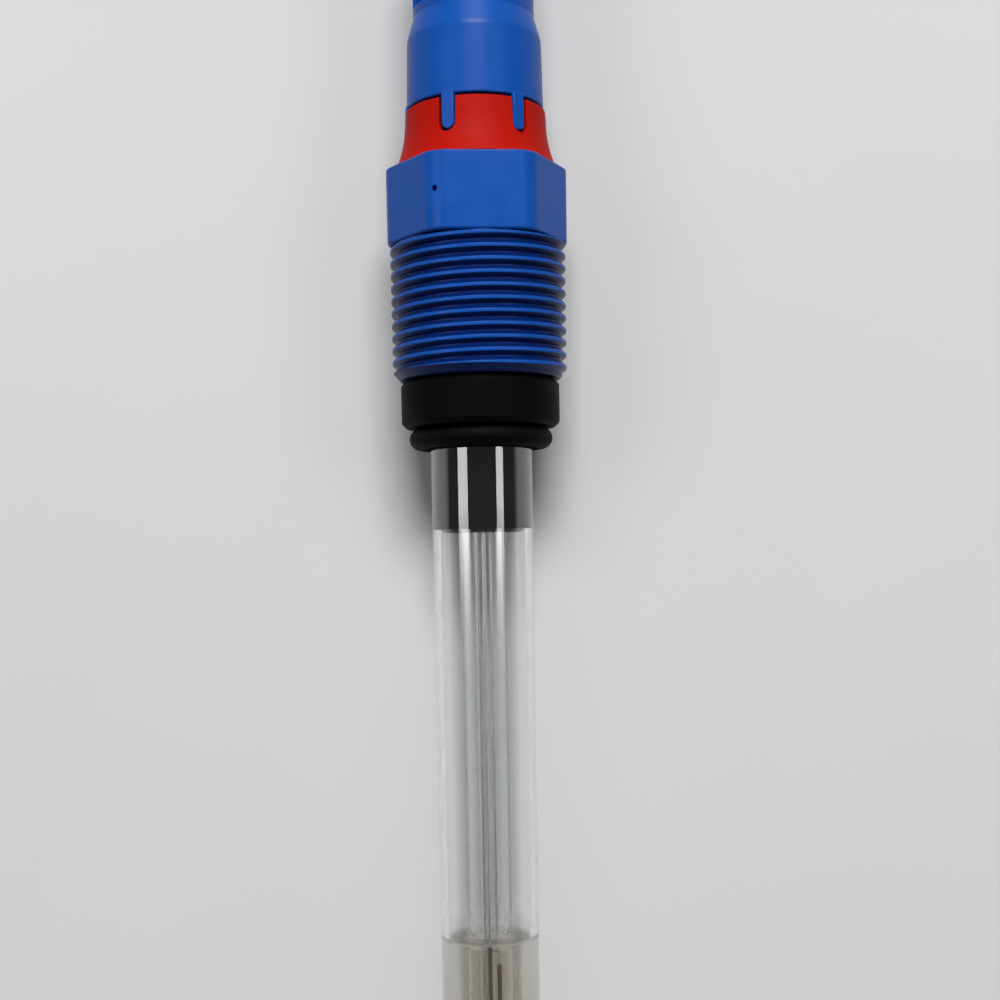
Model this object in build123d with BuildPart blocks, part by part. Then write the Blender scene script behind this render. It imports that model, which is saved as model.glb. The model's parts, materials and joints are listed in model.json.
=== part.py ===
from build123d import *
import os
from math import atan2, cos, radians, sin, tan

# A pH electrode with a plug-in head, lying at rest on a flat surface.
# All stations run along its long axis, from the thrust collar's lower face, where the
# insertion length starts. They are positive towards the head and negative towards the tip.
# Sizes are in millimetres. Angles round the axis start straight up and grow towards +X.

# Glass shaft
insertion_length = 120.0
shaft_diameter = 12.0
shaft_wall = 1.0
shaft_top = 17.0
rim_height = 2.4  # length over which the shaft closes to its rim
rim_radius = 2.9
rim_inset = 1.4  # from the shaft's outside to the membrane's
membrane_wall = 0.45
membrane_neck = 0.6  # straight length between the bulb and the rim
stem_diameter = 5.4
stem_wall = 0.9
stem_flare = 3.6  # length over which the stem widens to the membrane
flare_wall = 0.45
glass_seam = 0.02  # between glass pieces that are fused together

# Filling and electrodes inside the shaft
gel_level = 61.1  # below the collar's lower face
buffer_level = 62.5
stopper_recess = 4.0  # of the stopper's top below the shaft's
stopper_length = 25.2
stem_recess = 5.0  # of the stem's top below the stopper's
plug_length = 6.0
seat_gap = 0.02  # between a sealed-in piece and its wall
silver_wire = 0.3
reference_wire = 0.3
coating = 0.05  # thickness of the silver chloride on a wire
reference_element_rise = 6.2  # of the coated end's foot above the stem's flare
ph_element_rise = 11.4  # of the coated end's foot above the tip
ph_element_drop = 1.6  # of the coated end's top below the buffer's level
ph_wire_angle = 50.0  # round the axis, with the capillary opposite
capillary_diameter = 1.5
capillary_wall = 0.2
capillary_round = 0.6
capillary_rise = 2.0  # above the stem
capillary_tip_gap = 1.4  # from the membrane's inside to the capillary's closed end
sensor_wire = 0.2
sensor_wire_spacing = 0.5
thermistor_diameter = 0.9
thermistor_length = 1.8
thermistor_round = 0.36
lead_rise = 1.0  # of the leads' first bend above the shaft
junction_count = 3
junction_diameter = 1.0
junction_height = 14.0  # above the tip

# Collar and sealing ring
collar_wall = 3.0
collar_height = 5.4
collar_chamfer = 0.55
collar_clearance = 0.3  # on the radius, round the shaft
ring_cord = 2.4
ring_clearance = 0.03
collar_gap = 0.1  # between the ring, the collar and the screw-in body

# Screw-in body
thread_diameter = 20.4
thread_pitch = 1.411
thread_crest = 0.32
thread_root = 0.15
thread_flank = 40.0
thread_length = 14.6
thread_chamfer = 0.9
undercut_length = 0.8
undercut_depth = 0.3
hex_width = 19.0
hex_height = 8.6
hex_corner = 3.0
hex_turn = 4.3
hex_edge = 0.4
spigot_height = 6.0
spigot_clearance = 0.05
wire_bore_clearance = 0.1  # round the thickest lead
resin_thickness = 0.25

# Crown ring
crown_height = 6.25
crown_bore_clearance = 0.1
crown_wall = 1.1
crown_taper = 0.075  # on the radius, from the top to the neck
crown_neck_height = 4.6
crown_flare = 1.075  # on the radius, from the neck to the foot
crown_gap = 0.3  # shadow gap under the head
key_count = 6
key_turn = 38.0
key_width = 1.5
key_length = 3.8
key_side_gap = 0.25
key_end_gap = 0.35
key_sink = 0.05  # of the key's face below the ring's face

# Plug-in head
skirt_wall = 1.0
skirt_gap = 0.2  # above the hexagon
head_inset = 0.22  # of the head's face inside the crown ring's
head_taper = 0.18  # on the radius
head_straight = 7.6
head_shoulder = 2.5
head_edge = 0.25
nose_wall = 1.03
nose_length = 15.3
nose_edge = 0.5
bayonet_count = 2
bayonet_turn = -72.0
bayonet_width = 2.4
bayonet_web = 0.28  # of the nose's wall left behind a groove
bayonet_height = 1.0  # of the groove's lower wall above the shoulder
bayonet_sweep = 34.0

# Coupling pocket and coil
pocket_diameter = 7.8
pocket_depth = 10.0
pocket_wall = 0.65
pocket_floor = 0.8
flange_thickness = 1.2
ferrite_thickness = 0.4
ferrite_length = 8.0
ferrite_gap = 0.05
winding_thickness = 0.65
winding_length = 7.0
winding_clearance = 0.23  # to the head's bore
coil_wire = 0.24

# Circuit board
board_thickness = 0.8
board_gap = 1.2  # above the spigot
board_end_gap = 1.35  # below the pocket's floor
board_side_gap = 0.15
board_corner = 0.6
pad_count = 4
pad_edge_gap = 0.6  # from the outer leads' middle to the wire bore
pad_inset = 0.5  # from the board's lower or upper edge
joint_length = 1.6
joint_diameter = 1.1
lead_overlap = 2.6
chip_body = (5.0, 5.0, 1.0)  # width across the board, length along it, height
converter_body = (3.9, 3.9, 0.9)
memory_body = (3.0, 2.0, 0.8)
quartz_body = (1.5, 3.2, 0.8)
capacitor_body = (0.8, 1.6, 0.7)
capacitor_count = 3
capacitor_spacing = 2.2
side_inset = 1.75  # of the small parts' middle from the board's side
controller_rise = 0.6  # above the board's middle
converter_drop = 1.5
memory_rise = 3.2

# Radii and stations that follow from the sizes
shaft_r = shaft_diameter / 2
shaft_bore_r = shaft_r - shaft_wall
stem_r = stem_diameter / 2
stem_bore_r = stem_r - stem_wall
membrane_r = shaft_r - rim_inset
stopper_top = shaft_top - stopper_recess
stem_top = stopper_top - stem_recess
tip = -insertion_length
neck_station = tip + membrane_r + membrane_neck
shoulder_station = neck_station + rim_height
flare_station = shoulder_station + shaft_wall
stem_shoulder = flare_station + stem_flare
thread_r = thread_diameter / 2
thread_depth = (thread_pitch - thread_crest - thread_root) / 2 / tan(radians(thread_flank))
core_r = thread_r - thread_depth
body_end = collar_height + collar_gap
undercut_station = body_end + thread_length
hex_foot = undercut_station + undercut_length
hex_top = hex_foot + hex_height
spigot_top = hex_top + spigot_height
body_bore_r = shaft_r + resin_thickness
crown_top = hex_top + crown_height
head_foot = crown_top + crown_gap
shoulder_foot = head_foot + head_straight
nose_foot = shoulder_foot + head_shoulder
head_top = nose_foot + nose_length
pocket_base = head_top - pocket_depth
cup_floor = pocket_base - pocket_floor
board_foot = spigot_top + board_gap
board_top = cup_floor - board_end_gap
board_length = board_top - board_foot

# The coil sets the head's bore, and the bore and the walls set what lies outside it
pocket_r = pocket_diameter / 2
pocket_outer_r = pocket_r + pocket_wall
ferrite_bore_r = pocket_outer_r + ferrite_gap
ferrite_r = ferrite_bore_r + ferrite_thickness
winding_r = ferrite_r + seat_gap + winding_thickness / 2
head_bore_r = winding_r + winding_thickness / 2 + winding_clearance
spigot_r = head_bore_r - spigot_clearance
nose_r = head_bore_r + nose_wall
skirt_r = head_bore_r + skirt_wall
crown_bore_r = skirt_r + crown_bore_clearance
crown_top_r = crown_bore_r + crown_wall
crown_neck_r = crown_top_r + crown_taper
crown_foot_r = crown_neck_r + crown_flare
head_r = crown_top_r - head_inset
head_top_r = head_r - head_taper
board_width = 2 * (head_bore_r - board_side_gap)

# Where the wires run: one in the gel, one beside the capillary in the stem
capillary_r = capillary_diameter / 2
coated_r = silver_wire / 2 + coating
stem_gap = (2 * stem_bore_r - capillary_diameter - 2 * coated_r) / 3
ph_turn = radians(ph_wire_angle)
ph_place_r = stem_bore_r - coated_r - stem_gap
capillary_place_r = stem_bore_r - capillary_r - stem_gap
ph_offset = (ph_place_r * cos(ph_turn), ph_place_r * sin(ph_turn))
capillary_offset = (-capillary_place_r * cos(ph_turn), -capillary_place_r * sin(ph_turn))
reference_offset = ((stem_r + shaft_bore_r) / 2, 0.0)
wire_bore_r = reference_offset[0] + reference_wire / 2 + wire_bore_clearance
pad_spacing = 2 * (wire_bore_r - pad_edge_gap) / (pad_count - 1)

# At rest the electrode lies on its first thread crest and on the shaft's lower end
first_crest = body_end + thread_chamfer
rest_tilt = atan2(thread_r - shaft_r, first_crest - shoulder_station)

shaft_plane = Plane(
    (0, 0, 0),
    x_dir=(0, -sin(rest_tilt), cos(rest_tilt)),
    z_dir=(0, cos(rest_tilt), sin(rest_tilt)),
)
half_section = Plane(
    shaft_plane.origin,
    x_dir=shaft_plane.x_dir,
    z_dir=shaft_plane.x_dir.cross(shaft_plane.z_dir),
)
long_axis = Axis(shaft_plane.origin, shaft_plane.z_dir)


def facing_plane(angle):
    """A plane through the long axis that faces outwards at an angle, with Y along the axis."""
    outwards = shaft_plane.x_dir.rotate(long_axis, angle)
    return Plane(shaft_plane.origin, x_dir=long_axis.direction.cross(outwards), z_dir=outwards)


def at_station(station, offset=(0, 0)):
    """A plane square to the long axis at a station, with its origin moved sideways."""
    origin = shaft_plane.from_local_coords((offset[0], offset[1], station))
    return Plane(origin, x_dir=shaft_plane.x_dir, z_dir=shaft_plane.z_dir)


def finish(part, name):
    """Labels a piece and writes it under its own name."""
    part.label = name
    export_step(part, f"parts/{name}.step")


os.makedirs("parts", exist_ok=True)

# Screw-in body: hexagon, thread, spigot for the head and bore for the glass.
# The ridge's foot sinks under the core's face, so that its flanks cross that face.
ridge_sink = 0.25
ridge_knee = 0.06
knee_half = thread_crest / 2 + (thread_depth + ridge_knee) * tan(radians(thread_flank))
with BuildPart() as thread_ridge:
    ridge_start = body_end - thread_pitch
    with BuildLine() as ridge_path:
        Helix(
            pitch=thread_pitch,
            height=thread_length + 2 * thread_pitch,
            radius=core_r,
            center=at_station(ridge_start).origin,
            direction=shaft_plane.z_dir,
        )
    ridge_foot = ridge_path.line @ 0
    outwards = ridge_foot - at_station(ridge_start).origin
    with BuildSketch(Plane(ridge_foot, x_dir=outwards, z_dir=ridge_path.line % 0)):
        with BuildLine():
            Polyline(
                (-ridge_sink, -knee_half),
                (-ridge_knee, -knee_half),
                (thread_depth, -thread_crest / 2),
                (thread_depth, thread_crest / 2),
                (-ridge_knee, knee_half),
                (-ridge_sink, knee_half),
                close=True,
            )
        make_face()
    sweep(path=ridge_path.line, is_frenet=True)
    with BuildSketch(half_section):
        with BuildLine():
            Polyline(
                (0, body_end),
                (thread_r - thread_chamfer, body_end),
                (thread_r + ridge_sink, first_crest + ridge_sink),
                (thread_r + ridge_sink, undercut_station),
                (0, undercut_station),
                close=True,
            )
        make_face()
    revolve(axis=long_axis, mode=Mode.INTERSECT)

with BuildPart() as threaded_body:
    with BuildSketch(at_station(hex_foot)):
        RegularPolygon(radius=hex_width / 2, side_count=6, major_radius=False, rotation=30 + hex_turn)
        fillet(vertices(), radius=hex_corner)
    extrude(amount=hex_height)
    fillet(faces().sort_by(long_axis)[0].edges(), radius=hex_edge)
    with BuildSketch(half_section):
        with BuildLine():
            Polyline(
                (0, body_end),
                (core_r - undercut_depth, body_end),
                (core_r, body_end + undercut_depth),
                (core_r, undercut_station),
                (core_r - undercut_depth, undercut_station + undercut_depth),
                (core_r - undercut_depth, hex_foot + hex_edge),
                (spigot_r, hex_foot + hex_edge),
                (spigot_r, spigot_top),
                (0, spigot_top),
                close=True,
            )
        make_face()
    revolve(axis=long_axis)
    add(thread_ridge.part)
    with BuildSketch(half_section):
        with BuildLine():
            Polyline(
                (0, body_end),
                (body_bore_r, body_end),
                (body_bore_r, shaft_top + resin_thickness),
                (wire_bore_r, shaft_top + resin_thickness),
                (wire_bore_r, spigot_top),
                (0, spigot_top),
                close=True,
            )
        make_face()
    revolve(axis=long_axis, mode=Mode.SUBTRACT)
finish(threaded_body.part, "threaded_body")

with BuildPart() as shaft_resin:
    with BuildSketch(at_station(body_end)):
        Circle(body_bore_r - seat_gap)
        Circle(shaft_r + seat_gap, mode=Mode.SUBTRACT)
    extrude(amount=shaft_top - body_end)
finish(shaft_resin.part, "shaft_resin")

# Crown ring: its slots take the head's keys, and its foot flares over the hexagon
slot_floor = head_foot - key_length - key_end_gap
with BuildPart() as crown_ring:
    with BuildSketch(half_section):
        with BuildLine():
            neck = (crown_neck_r, hex_top + crown_neck_height)
            side = Line((crown_top_r, crown_top), neck)
            flare = TangentArc(neck, (crown_foot_r, hex_top), tangent=side % 1)
            Polyline(
                flare @ 1,
                (crown_bore_r, hex_top),
                (crown_bore_r, crown_top),
                side @ 0,
            )
        make_face()
    revolve(axis=long_axis)
    for key in range(key_count):
        slot_width = key_width + 2 * key_side_gap
        with BuildSketch(facing_plane(key_turn + key * 360 / key_count)):
            with Locations((0, slot_floor + slot_width / 2)):
                Circle(slot_width / 2)
                Rectangle(slot_width, crown_height, align=(Align.CENTER, Align.MIN))
        extrude(amount=2 * crown_foot_r, mode=Mode.SUBTRACT)
finish(crown_ring.part, "crown_ring")

# Plug-in head: skirt and keys in the crown ring, tapered grip, shoulder and bayonet nose
bayonet_depth = nose_wall - bayonet_web
groove_foot = nose_foot + bayonet_height
with BuildPart() as plug_head:
    with BuildSketch(half_section):
        with BuildLine():
            grip_top = (head_top_r, shoulder_foot)
            shoulder_end = ((head_top_r + nose_r) / 2, shoulder_foot + head_shoulder / 2)
            grip = Line((head_r, head_foot + head_edge), grip_top)
            shoulder = TangentArc(grip_top, shoulder_end, tangent=grip % 1)
            Polyline(
                shoulder @ 1,
                (nose_r, nose_foot),
                (nose_r, head_top - nose_edge),
                (nose_r - nose_edge, head_top),
                (head_bore_r, head_top),
                (head_bore_r, hex_top + skirt_gap),
                (skirt_r, hex_top + skirt_gap),
                (skirt_r, head_foot),
                (head_r - head_edge, head_foot),
                grip @ 0,
            )
        make_face()
    revolve(axis=long_axis)
    key_root = (head_bore_r + skirt_r) / 2
    key_face = crown_top_r - key_sink
    for key in range(key_count):
        with BuildSketch(facing_plane(key_turn + key * 360 / key_count).offset(key_root)):
            with Locations((0, head_foot - key_length + key_width / 2)):
                Circle(key_width / 2)
                Rectangle(key_width, key_length, align=(Align.CENTER, Align.MIN))
        extrude(amount=key_face - key_root)
    for groove in range(bayonet_count):
        groove_turn = bayonet_turn + groove * 360 / bayonet_count
        with BuildSketch(facing_plane(groove_turn).offset(nose_r - bayonet_depth)):
            with Locations((0, groove_foot)):
                Rectangle(bayonet_width, nose_length, align=(Align.CENTER, Align.MIN))
        extrude(amount=2 * bayonet_depth, mode=Mode.SUBTRACT)
        with BuildSketch(facing_plane(groove_turn - 90)):
            with Locations((nose_r - bayonet_depth, groove_foot)):
                Rectangle(2 * bayonet_depth, bayonet_width, align=(Align.MIN, Align.MIN))
        revolve(axis=long_axis, revolution_arc=bayonet_sweep, mode=Mode.SUBTRACT)
finish(plug_head.part, "plug_head")

# Coupling pocket: a cup whose flange closes the nose and whose tube carries the coil
with BuildPart() as pocket_cup:
    with BuildSketch(half_section):
        with BuildLine():
            Polyline(
                (0, cup_floor),
                (pocket_outer_r, cup_floor),
                (pocket_outer_r, head_top - flange_thickness),
                (head_bore_r - seat_gap, head_top - flange_thickness),
                (head_bore_r - seat_gap, head_top),
                (pocket_r, head_top),
                (pocket_r, pocket_base),
                (0, pocket_base),
                close=True,
            )
        make_face()
    revolve(axis=long_axis)
finish(pocket_cup.part, "pocket_cup")

ferrite_foot = head_top - flange_thickness - seat_gap - ferrite_length
with BuildPart() as ferrite_sleeve:
    with BuildSketch(at_station(ferrite_foot)):
        Circle(ferrite_r)
        Circle(ferrite_bore_r, mode=Mode.SUBTRACT)
    extrude(amount=ferrite_length)
finish(ferrite_sleeve.part, "ferrite_sleeve")

winding_foot = ferrite_foot + (ferrite_length - winding_length) / 2
with BuildPart() as coil_winding:
    with BuildSketch(at_station(winding_foot)):
        Circle(winding_r + winding_thickness / 2)
        Circle(winding_r - winding_thickness / 2, mode=Mode.SUBTRACT)
    extrude(amount=winding_length)
finish(coil_winding.part, "coil_winding")

# Thrust collar: a loose ring with bevelled rims
collar_bore_r = shaft_r + collar_clearance
collar_r = collar_bore_r + collar_wall
with BuildPart() as thrust_collar:
    with BuildSketch(at_station(0)):
        Circle(collar_r)
        Circle(collar_bore_r, mode=Mode.SUBTRACT)
    extrude(amount=collar_height)
    rims = edges().filter_by(GeomType.CIRCLE).group_by(SortBy.RADIUS)[-1]
    chamfer(rims, length=collar_chamfer)
finish(thrust_collar.part, "thrust_collar")

with BuildPart() as o_ring:
    with BuildSketch(half_section):
        with Locations((shaft_r + ring_clearance + ring_cord / 2, -collar_gap - ring_cord / 2)):
            Circle(ring_cord / 2)
    revolve(axis=long_axis)
finish(o_ring.part, "o_ring")

# Glass shaft: a tube that closes to a rim at its lower end, with bores for the junctions
junction_station = tip + junction_height
with BuildPart() as outer_tube:
    with BuildSketch(half_section):
        with BuildLine():
            Polyline((shaft_r, shoulder_station), (shaft_r, shaft_top), (shaft_bore_r, shaft_top))
            Polyline(
                (shaft_bore_r, shaft_top),
                (shaft_bore_r, flare_station),
                (membrane_r + glass_seam, neck_station + shaft_wall),
                (membrane_r + glass_seam, neck_station),
            )
            RadiusArc(
                (membrane_r + glass_seam, neck_station),
                (shaft_r, shoulder_station),
                -rim_radius,
            )
        make_face()
    revolve(axis=long_axis)
    for junction in range(junction_count):
        with BuildSketch(facing_plane(junction * 360 / junction_count)):
            with Locations((0, junction_station)):
                Circle(junction_diameter / 2 + seat_gap)
        extrude(amount=shaft_diameter, mode=Mode.SUBTRACT)
finish(outer_tube.part, "outer_tube")

for junction in range(junction_count):
    with BuildPart() as junction_pin:
        with BuildSketch(facing_plane(junction * 360 / junction_count)):
            with Locations((0, junction_station)):
                Circle(junction_diameter / 2)
        extrude(amount=shaft_diameter)
        with BuildSketch(at_station(junction_station - junction_diameter)):
            Circle(shaft_r)
            Circle(shaft_bore_r, mode=Mode.SUBTRACT)
        extrude(amount=2 * junction_diameter, mode=Mode.INTERSECT)
    finish(junction_pin.part, f"junction_pin_{junction + 1}")

# Stem: a narrow tube that widens at its foot to carry the membrane inside the shaft's rim
stem_foot_r = membrane_r - flare_wall
with BuildPart() as inner_tube:
    with BuildSketch(half_section):
        with BuildLine():
            outer = Line((stem_r, stem_top), (stem_r, stem_shoulder))
            widening = Spline(
                (stem_r, stem_shoulder),
                (membrane_r, neck_station + shaft_wall),
                tangents=((0, -1), (0, -1)),
            )
            Polyline(
                widening @ 1,
                (membrane_r, neck_station),
                (stem_foot_r, neck_station),
                (stem_foot_r, neck_station + shaft_wall),
            )
            inner = Spline(
                (stem_foot_r, neck_station + shaft_wall),
                (stem_bore_r, stem_shoulder),
                tangents=((0, 1), (0, 1)),
            )
            Polyline(inner @ 1, (stem_bore_r, stem_top), outer @ 0)
        make_face()
    revolve(axis=long_axis)
finish(inner_tube.part, "inner_tube")

# Membrane: a thin round bulb that closes the stem
membrane_centre = tip + membrane_r
membrane_bore_r = membrane_r - membrane_wall
membrane_top = neck_station - glass_seam
with BuildPart() as ph_membrane:
    with BuildSketch(half_section):
        with BuildLine():
            Line((membrane_bore_r, membrane_top), (membrane_r, membrane_top))
            Line((membrane_r, membrane_top), (membrane_r, membrane_centre))
            RadiusArc((membrane_r, membrane_centre), (0, tip), membrane_r)
            Line((0, tip), (0, tip + membrane_wall))
            RadiusArc((0, tip + membrane_wall), (membrane_bore_r, membrane_centre), -membrane_bore_r)
            Line((membrane_bore_r, membrane_centre), (membrane_bore_r, membrane_top))
        make_face()
    revolve(axis=long_axis)
finish(ph_membrane.part, "ph_membrane")

# Leads: straight in the shaft, then bent through the wire bore to the board's lower edge
bend_foot = shaft_top + lead_rise
lead_top = board_foot + lead_overlap


def lead_path(offset, place, wire, foot):
    """The corners of a lead that runs from a station in the shaft to a place on the board."""
    upper = (wire / 2 + seat_gap, place)
    corners = [(*offset, foot), (*offset, bend_foot), (*upper, spigot_top), (*upper, lead_top)]
    return [shaft_plane.from_local_coords(corner) for corner in corners]


sensor_foot = tip + membrane_wall + capillary_tip_gap + capillary_wall
element_top = -gel_level
ph_element_top = -buffer_level - ph_element_drop
sensor_top = sensor_foot + seat_gap + thermistor_length
sensor_offsets = [
    (capillary_offset[0], capillary_offset[1] + side * sensor_wire_spacing / 2) for side in (1, -1)
]
pad_places = [(pad - (pad_count - 1) / 2) * pad_spacing for pad in range(pad_count)]
leads = {
    "reference_lead": (reference_offset, reference_wire, element_top, pad_places[3]),
    "ph_lead": (ph_offset, silver_wire, ph_element_top, pad_places[2]),
    "temperature_lead_1": (sensor_offsets[0], sensor_wire, sensor_top, pad_places[1]),
    "temperature_lead_2": (sensor_offsets[1], sensor_wire, sensor_top, pad_places[0]),
}
for name, (offset, wire, foot, place) in leads.items():
    with BuildPart() as lead:
        with BuildLine() as route:
            Polyline(*lead_path(offset, place, wire, foot + seat_gap))
        with BuildSketch(at_station(foot + seat_gap, offset)):
            Circle(wire / 2)
        sweep(path=route.wires()[0], transition=Transition.RIGHT)
    finish(lead.part, name)

# Coated ends of the two silver wires
reference_element_foot = stem_shoulder + reference_element_rise
ph_element_foot = tip + ph_element_rise
elements = {
    "reference_element": (reference_offset, reference_wire, element_top, reference_element_foot),
    "ph_element": (ph_offset, silver_wire, ph_element_top, ph_element_foot),
}
for name, (offset, wire, top, foot) in elements.items():
    with BuildPart() as element:
        with BuildSketch(at_station(foot, offset)):
            Circle(wire / 2 + coating)
        extrude(amount=top - foot)
    finish(element.part, name)

# Temperature sensor: a thermistor bead at the foot of its own closed capillary
capillary_foot = sensor_foot - capillary_wall
capillary_top = stem_top + capillary_rise
with BuildPart() as temperature_tube:
    with BuildSketch(at_station(capillary_foot, capillary_offset)):
        Circle(capillary_r)
    extrude(amount=capillary_top - capillary_foot)
    fillet(edges().group_by(long_axis)[0], radius=capillary_round)
    with BuildSketch(at_station(sensor_foot, capillary_offset)):
        Circle(capillary_r - capillary_wall)
    extrude(amount=capillary_top - sensor_foot, mode=Mode.SUBTRACT)
finish(temperature_tube.part, "temperature_tube")

with BuildPart() as thermistor:
    with BuildSketch(at_station(sensor_foot, capillary_offset)):
        Circle(thermistor_diameter / 2)
    extrude(amount=thermistor_length)
    fillet(edges().group_by(long_axis)[0], radius=thermistor_round)
finish(thermistor.part, "thermistor")

# Stopper in the shaft and plug in the stem, each bored for what passes through
with BuildPart() as stopper:
    with BuildSketch(at_station(stopper_top - stopper_length)):
        Circle(shaft_bore_r - seat_gap)
        Circle(stem_r + seat_gap, mode=Mode.SUBTRACT)
        with Locations(reference_offset):
            Circle(reference_wire / 2 + seat_gap, mode=Mode.SUBTRACT)
    extrude(amount=stopper_length)
finish(stopper.part, "stopper")

with BuildPart() as stem_plug:
    with BuildSketch(at_station(stem_top - plug_length)):
        Circle(stem_bore_r - seat_gap)
        with Locations(ph_offset):
            Circle(silver_wire / 2 + seat_gap, mode=Mode.SUBTRACT)
        with Locations(capillary_offset):
            Circle(capillary_r + seat_gap, mode=Mode.SUBTRACT)
    extrude(amount=plug_length)
finish(stem_plug.part, "stem_plug")

# Filling: reference gel round the stem, buffer inside the stem and the membrane
with BuildPart() as reference_gel:
    with BuildSketch(at_station(stem_shoulder)):
        Circle(shaft_bore_r - seat_gap)
        Circle(stem_r + seat_gap, mode=Mode.SUBTRACT)
        with Locations(reference_offset):
            Circle(reference_wire / 2 + coating + seat_gap, mode=Mode.SUBTRACT)
    extrude(amount=element_top - stem_shoulder)
finish(reference_gel.part, "reference_gel")

with BuildPart() as inner_buffer:
    with BuildSketch(half_section):
        with BuildLine():
            buffer_r = stem_bore_r - seat_gap
            buffer_foot_r = stem_foot_r - seat_gap
            Polyline((0, -buffer_level), (buffer_r, -buffer_level), (buffer_r, stem_shoulder))
            buffer_flare = Spline(
                (buffer_r, stem_shoulder),
                (buffer_foot_r, neck_station + shaft_wall),
                tangents=((0, -1), (0, -1)),
            )
            bulb_r = membrane_bore_r - seat_gap
            buffer_side = Polyline(
                buffer_flare @ 1,
                (buffer_foot_r, neck_station - glass_seam),
                (bulb_r, neck_station - glass_seam - seat_gap),
                (bulb_r, membrane_centre),
            )
            RadiusArc(buffer_side @ 1, (0, membrane_centre - bulb_r), bulb_r)
            Line((0, membrane_centre - bulb_r), (0, -buffer_level))
        make_face()
    revolve(axis=long_axis)
    with BuildSketch(at_station(-buffer_level, capillary_offset)):
        Circle(capillary_r + seat_gap)
    extrude(amount=capillary_foot - seat_gap + buffer_level, mode=Mode.SUBTRACT)
    with BuildSketch(at_station(-buffer_level, ph_offset)):
        Circle(coated_r + seat_gap)
    extrude(amount=ph_element_foot - seat_gap + buffer_level, mode=Mode.SUBTRACT)
finish(inner_buffer.part, "inner_buffer")

# Circuit board, on edge across the head's bore, with its parts on both faces
board_face = Plane(
    at_station(board_foot).origin,
    x_dir=shaft_plane.y_dir,
    z_dir=shaft_plane.x_dir,
)
with BuildPart() as circuit_board:
    with BuildSketch(board_face):
        Rectangle(board_width, board_length, align=(Align.CENTER, Align.MIN))
        fillet(vertices(), radius=board_corner)
    extrude(amount=-board_thickness)
finish(circuit_board.part, "circuit_board")

# The coil's two ends run down the board's upper corners
coil_lead_foot = board_top - lead_overlap
for side, number in ((-1, 1), (1, 2)):
    with BuildPart() as coil_lead:
        with BuildSketch(at_station(coil_lead_foot, (coil_wire / 2 + seat_gap, side * winding_r))):
            Circle(coil_wire / 2)
        extrude(amount=winding_foot - seat_gap - coil_lead_foot)
    finish(coil_lead.part, f"coil_lead_{number}")

# Joints: an arch of solder over each lead on the board's upper face
joints = [(place, wire, board_foot + pad_inset) for _, wire, _, place in leads.values()]
coil_joint = board_top - pad_inset - joint_length
joints += [(side * (winding_r - seat_gap), coil_wire, coil_joint) for side in (-1, 1)]
with BuildPart() as solder_joints:
    for place, wire, foot in joints:
        with BuildSketch(at_station(foot, (wire / 2 + seat_gap, place))):
            Circle(joint_diameter / 2)
            Circle(wire / 2 + 2 * seat_gap, mode=Mode.SUBTRACT)
            with Locations((-wire / 2, 0)):
                Rectangle(
                    joint_diameter,
                    joint_diameter,
                    align=(Align.MAX, Align.CENTER),
                    mode=Mode.SUBTRACT,
                )
        extrude(amount=joint_length)
finish(solder_joints.part, "solder_joints")

# Parts on the board: name, side (1 on the leads' face), size, place across, place along
board_middle = board_length / 2
side_column = board_width / 2 - side_inset
board_parts = [
    ("controller_chip", 1, chip_body, 0, board_middle + controller_rise),
    ("quartz", 1, quartz_body, side_column, board_middle + controller_rise),
    ("converter_chip", -1, converter_body, 0, board_middle - converter_drop),
    ("memory_chip", -1, memory_body, 0, board_middle + memory_rise),
]
for number in range(capacitor_count):
    steps = number - (capacitor_count - 1) / 2
    along = board_middle + controller_rise + steps * capacitor_spacing
    board_parts.append((f"capacitor_{number + 1}", 1, capacitor_body, -side_column, along))
for name, side, (width, length, height), across, along in board_parts:
    lift = seat_gap if side > 0 else -board_thickness - seat_gap
    with BuildPart() as board_part:
        with BuildSketch(board_face.offset(lift)):
            with Locations((across, along)):
                Rectangle(width, length)
        extrude(amount=side * height)
    finish(board_part.part, name)
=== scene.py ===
"""The looks of a pH electrode with a plug-in head that lies on a sheet of white paper."""

import json
import logging
import math
from collections.abc import Callable
from dataclasses import dataclass
from enum import Enum

import bpy
from mathutils import Matrix, Vector


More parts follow.
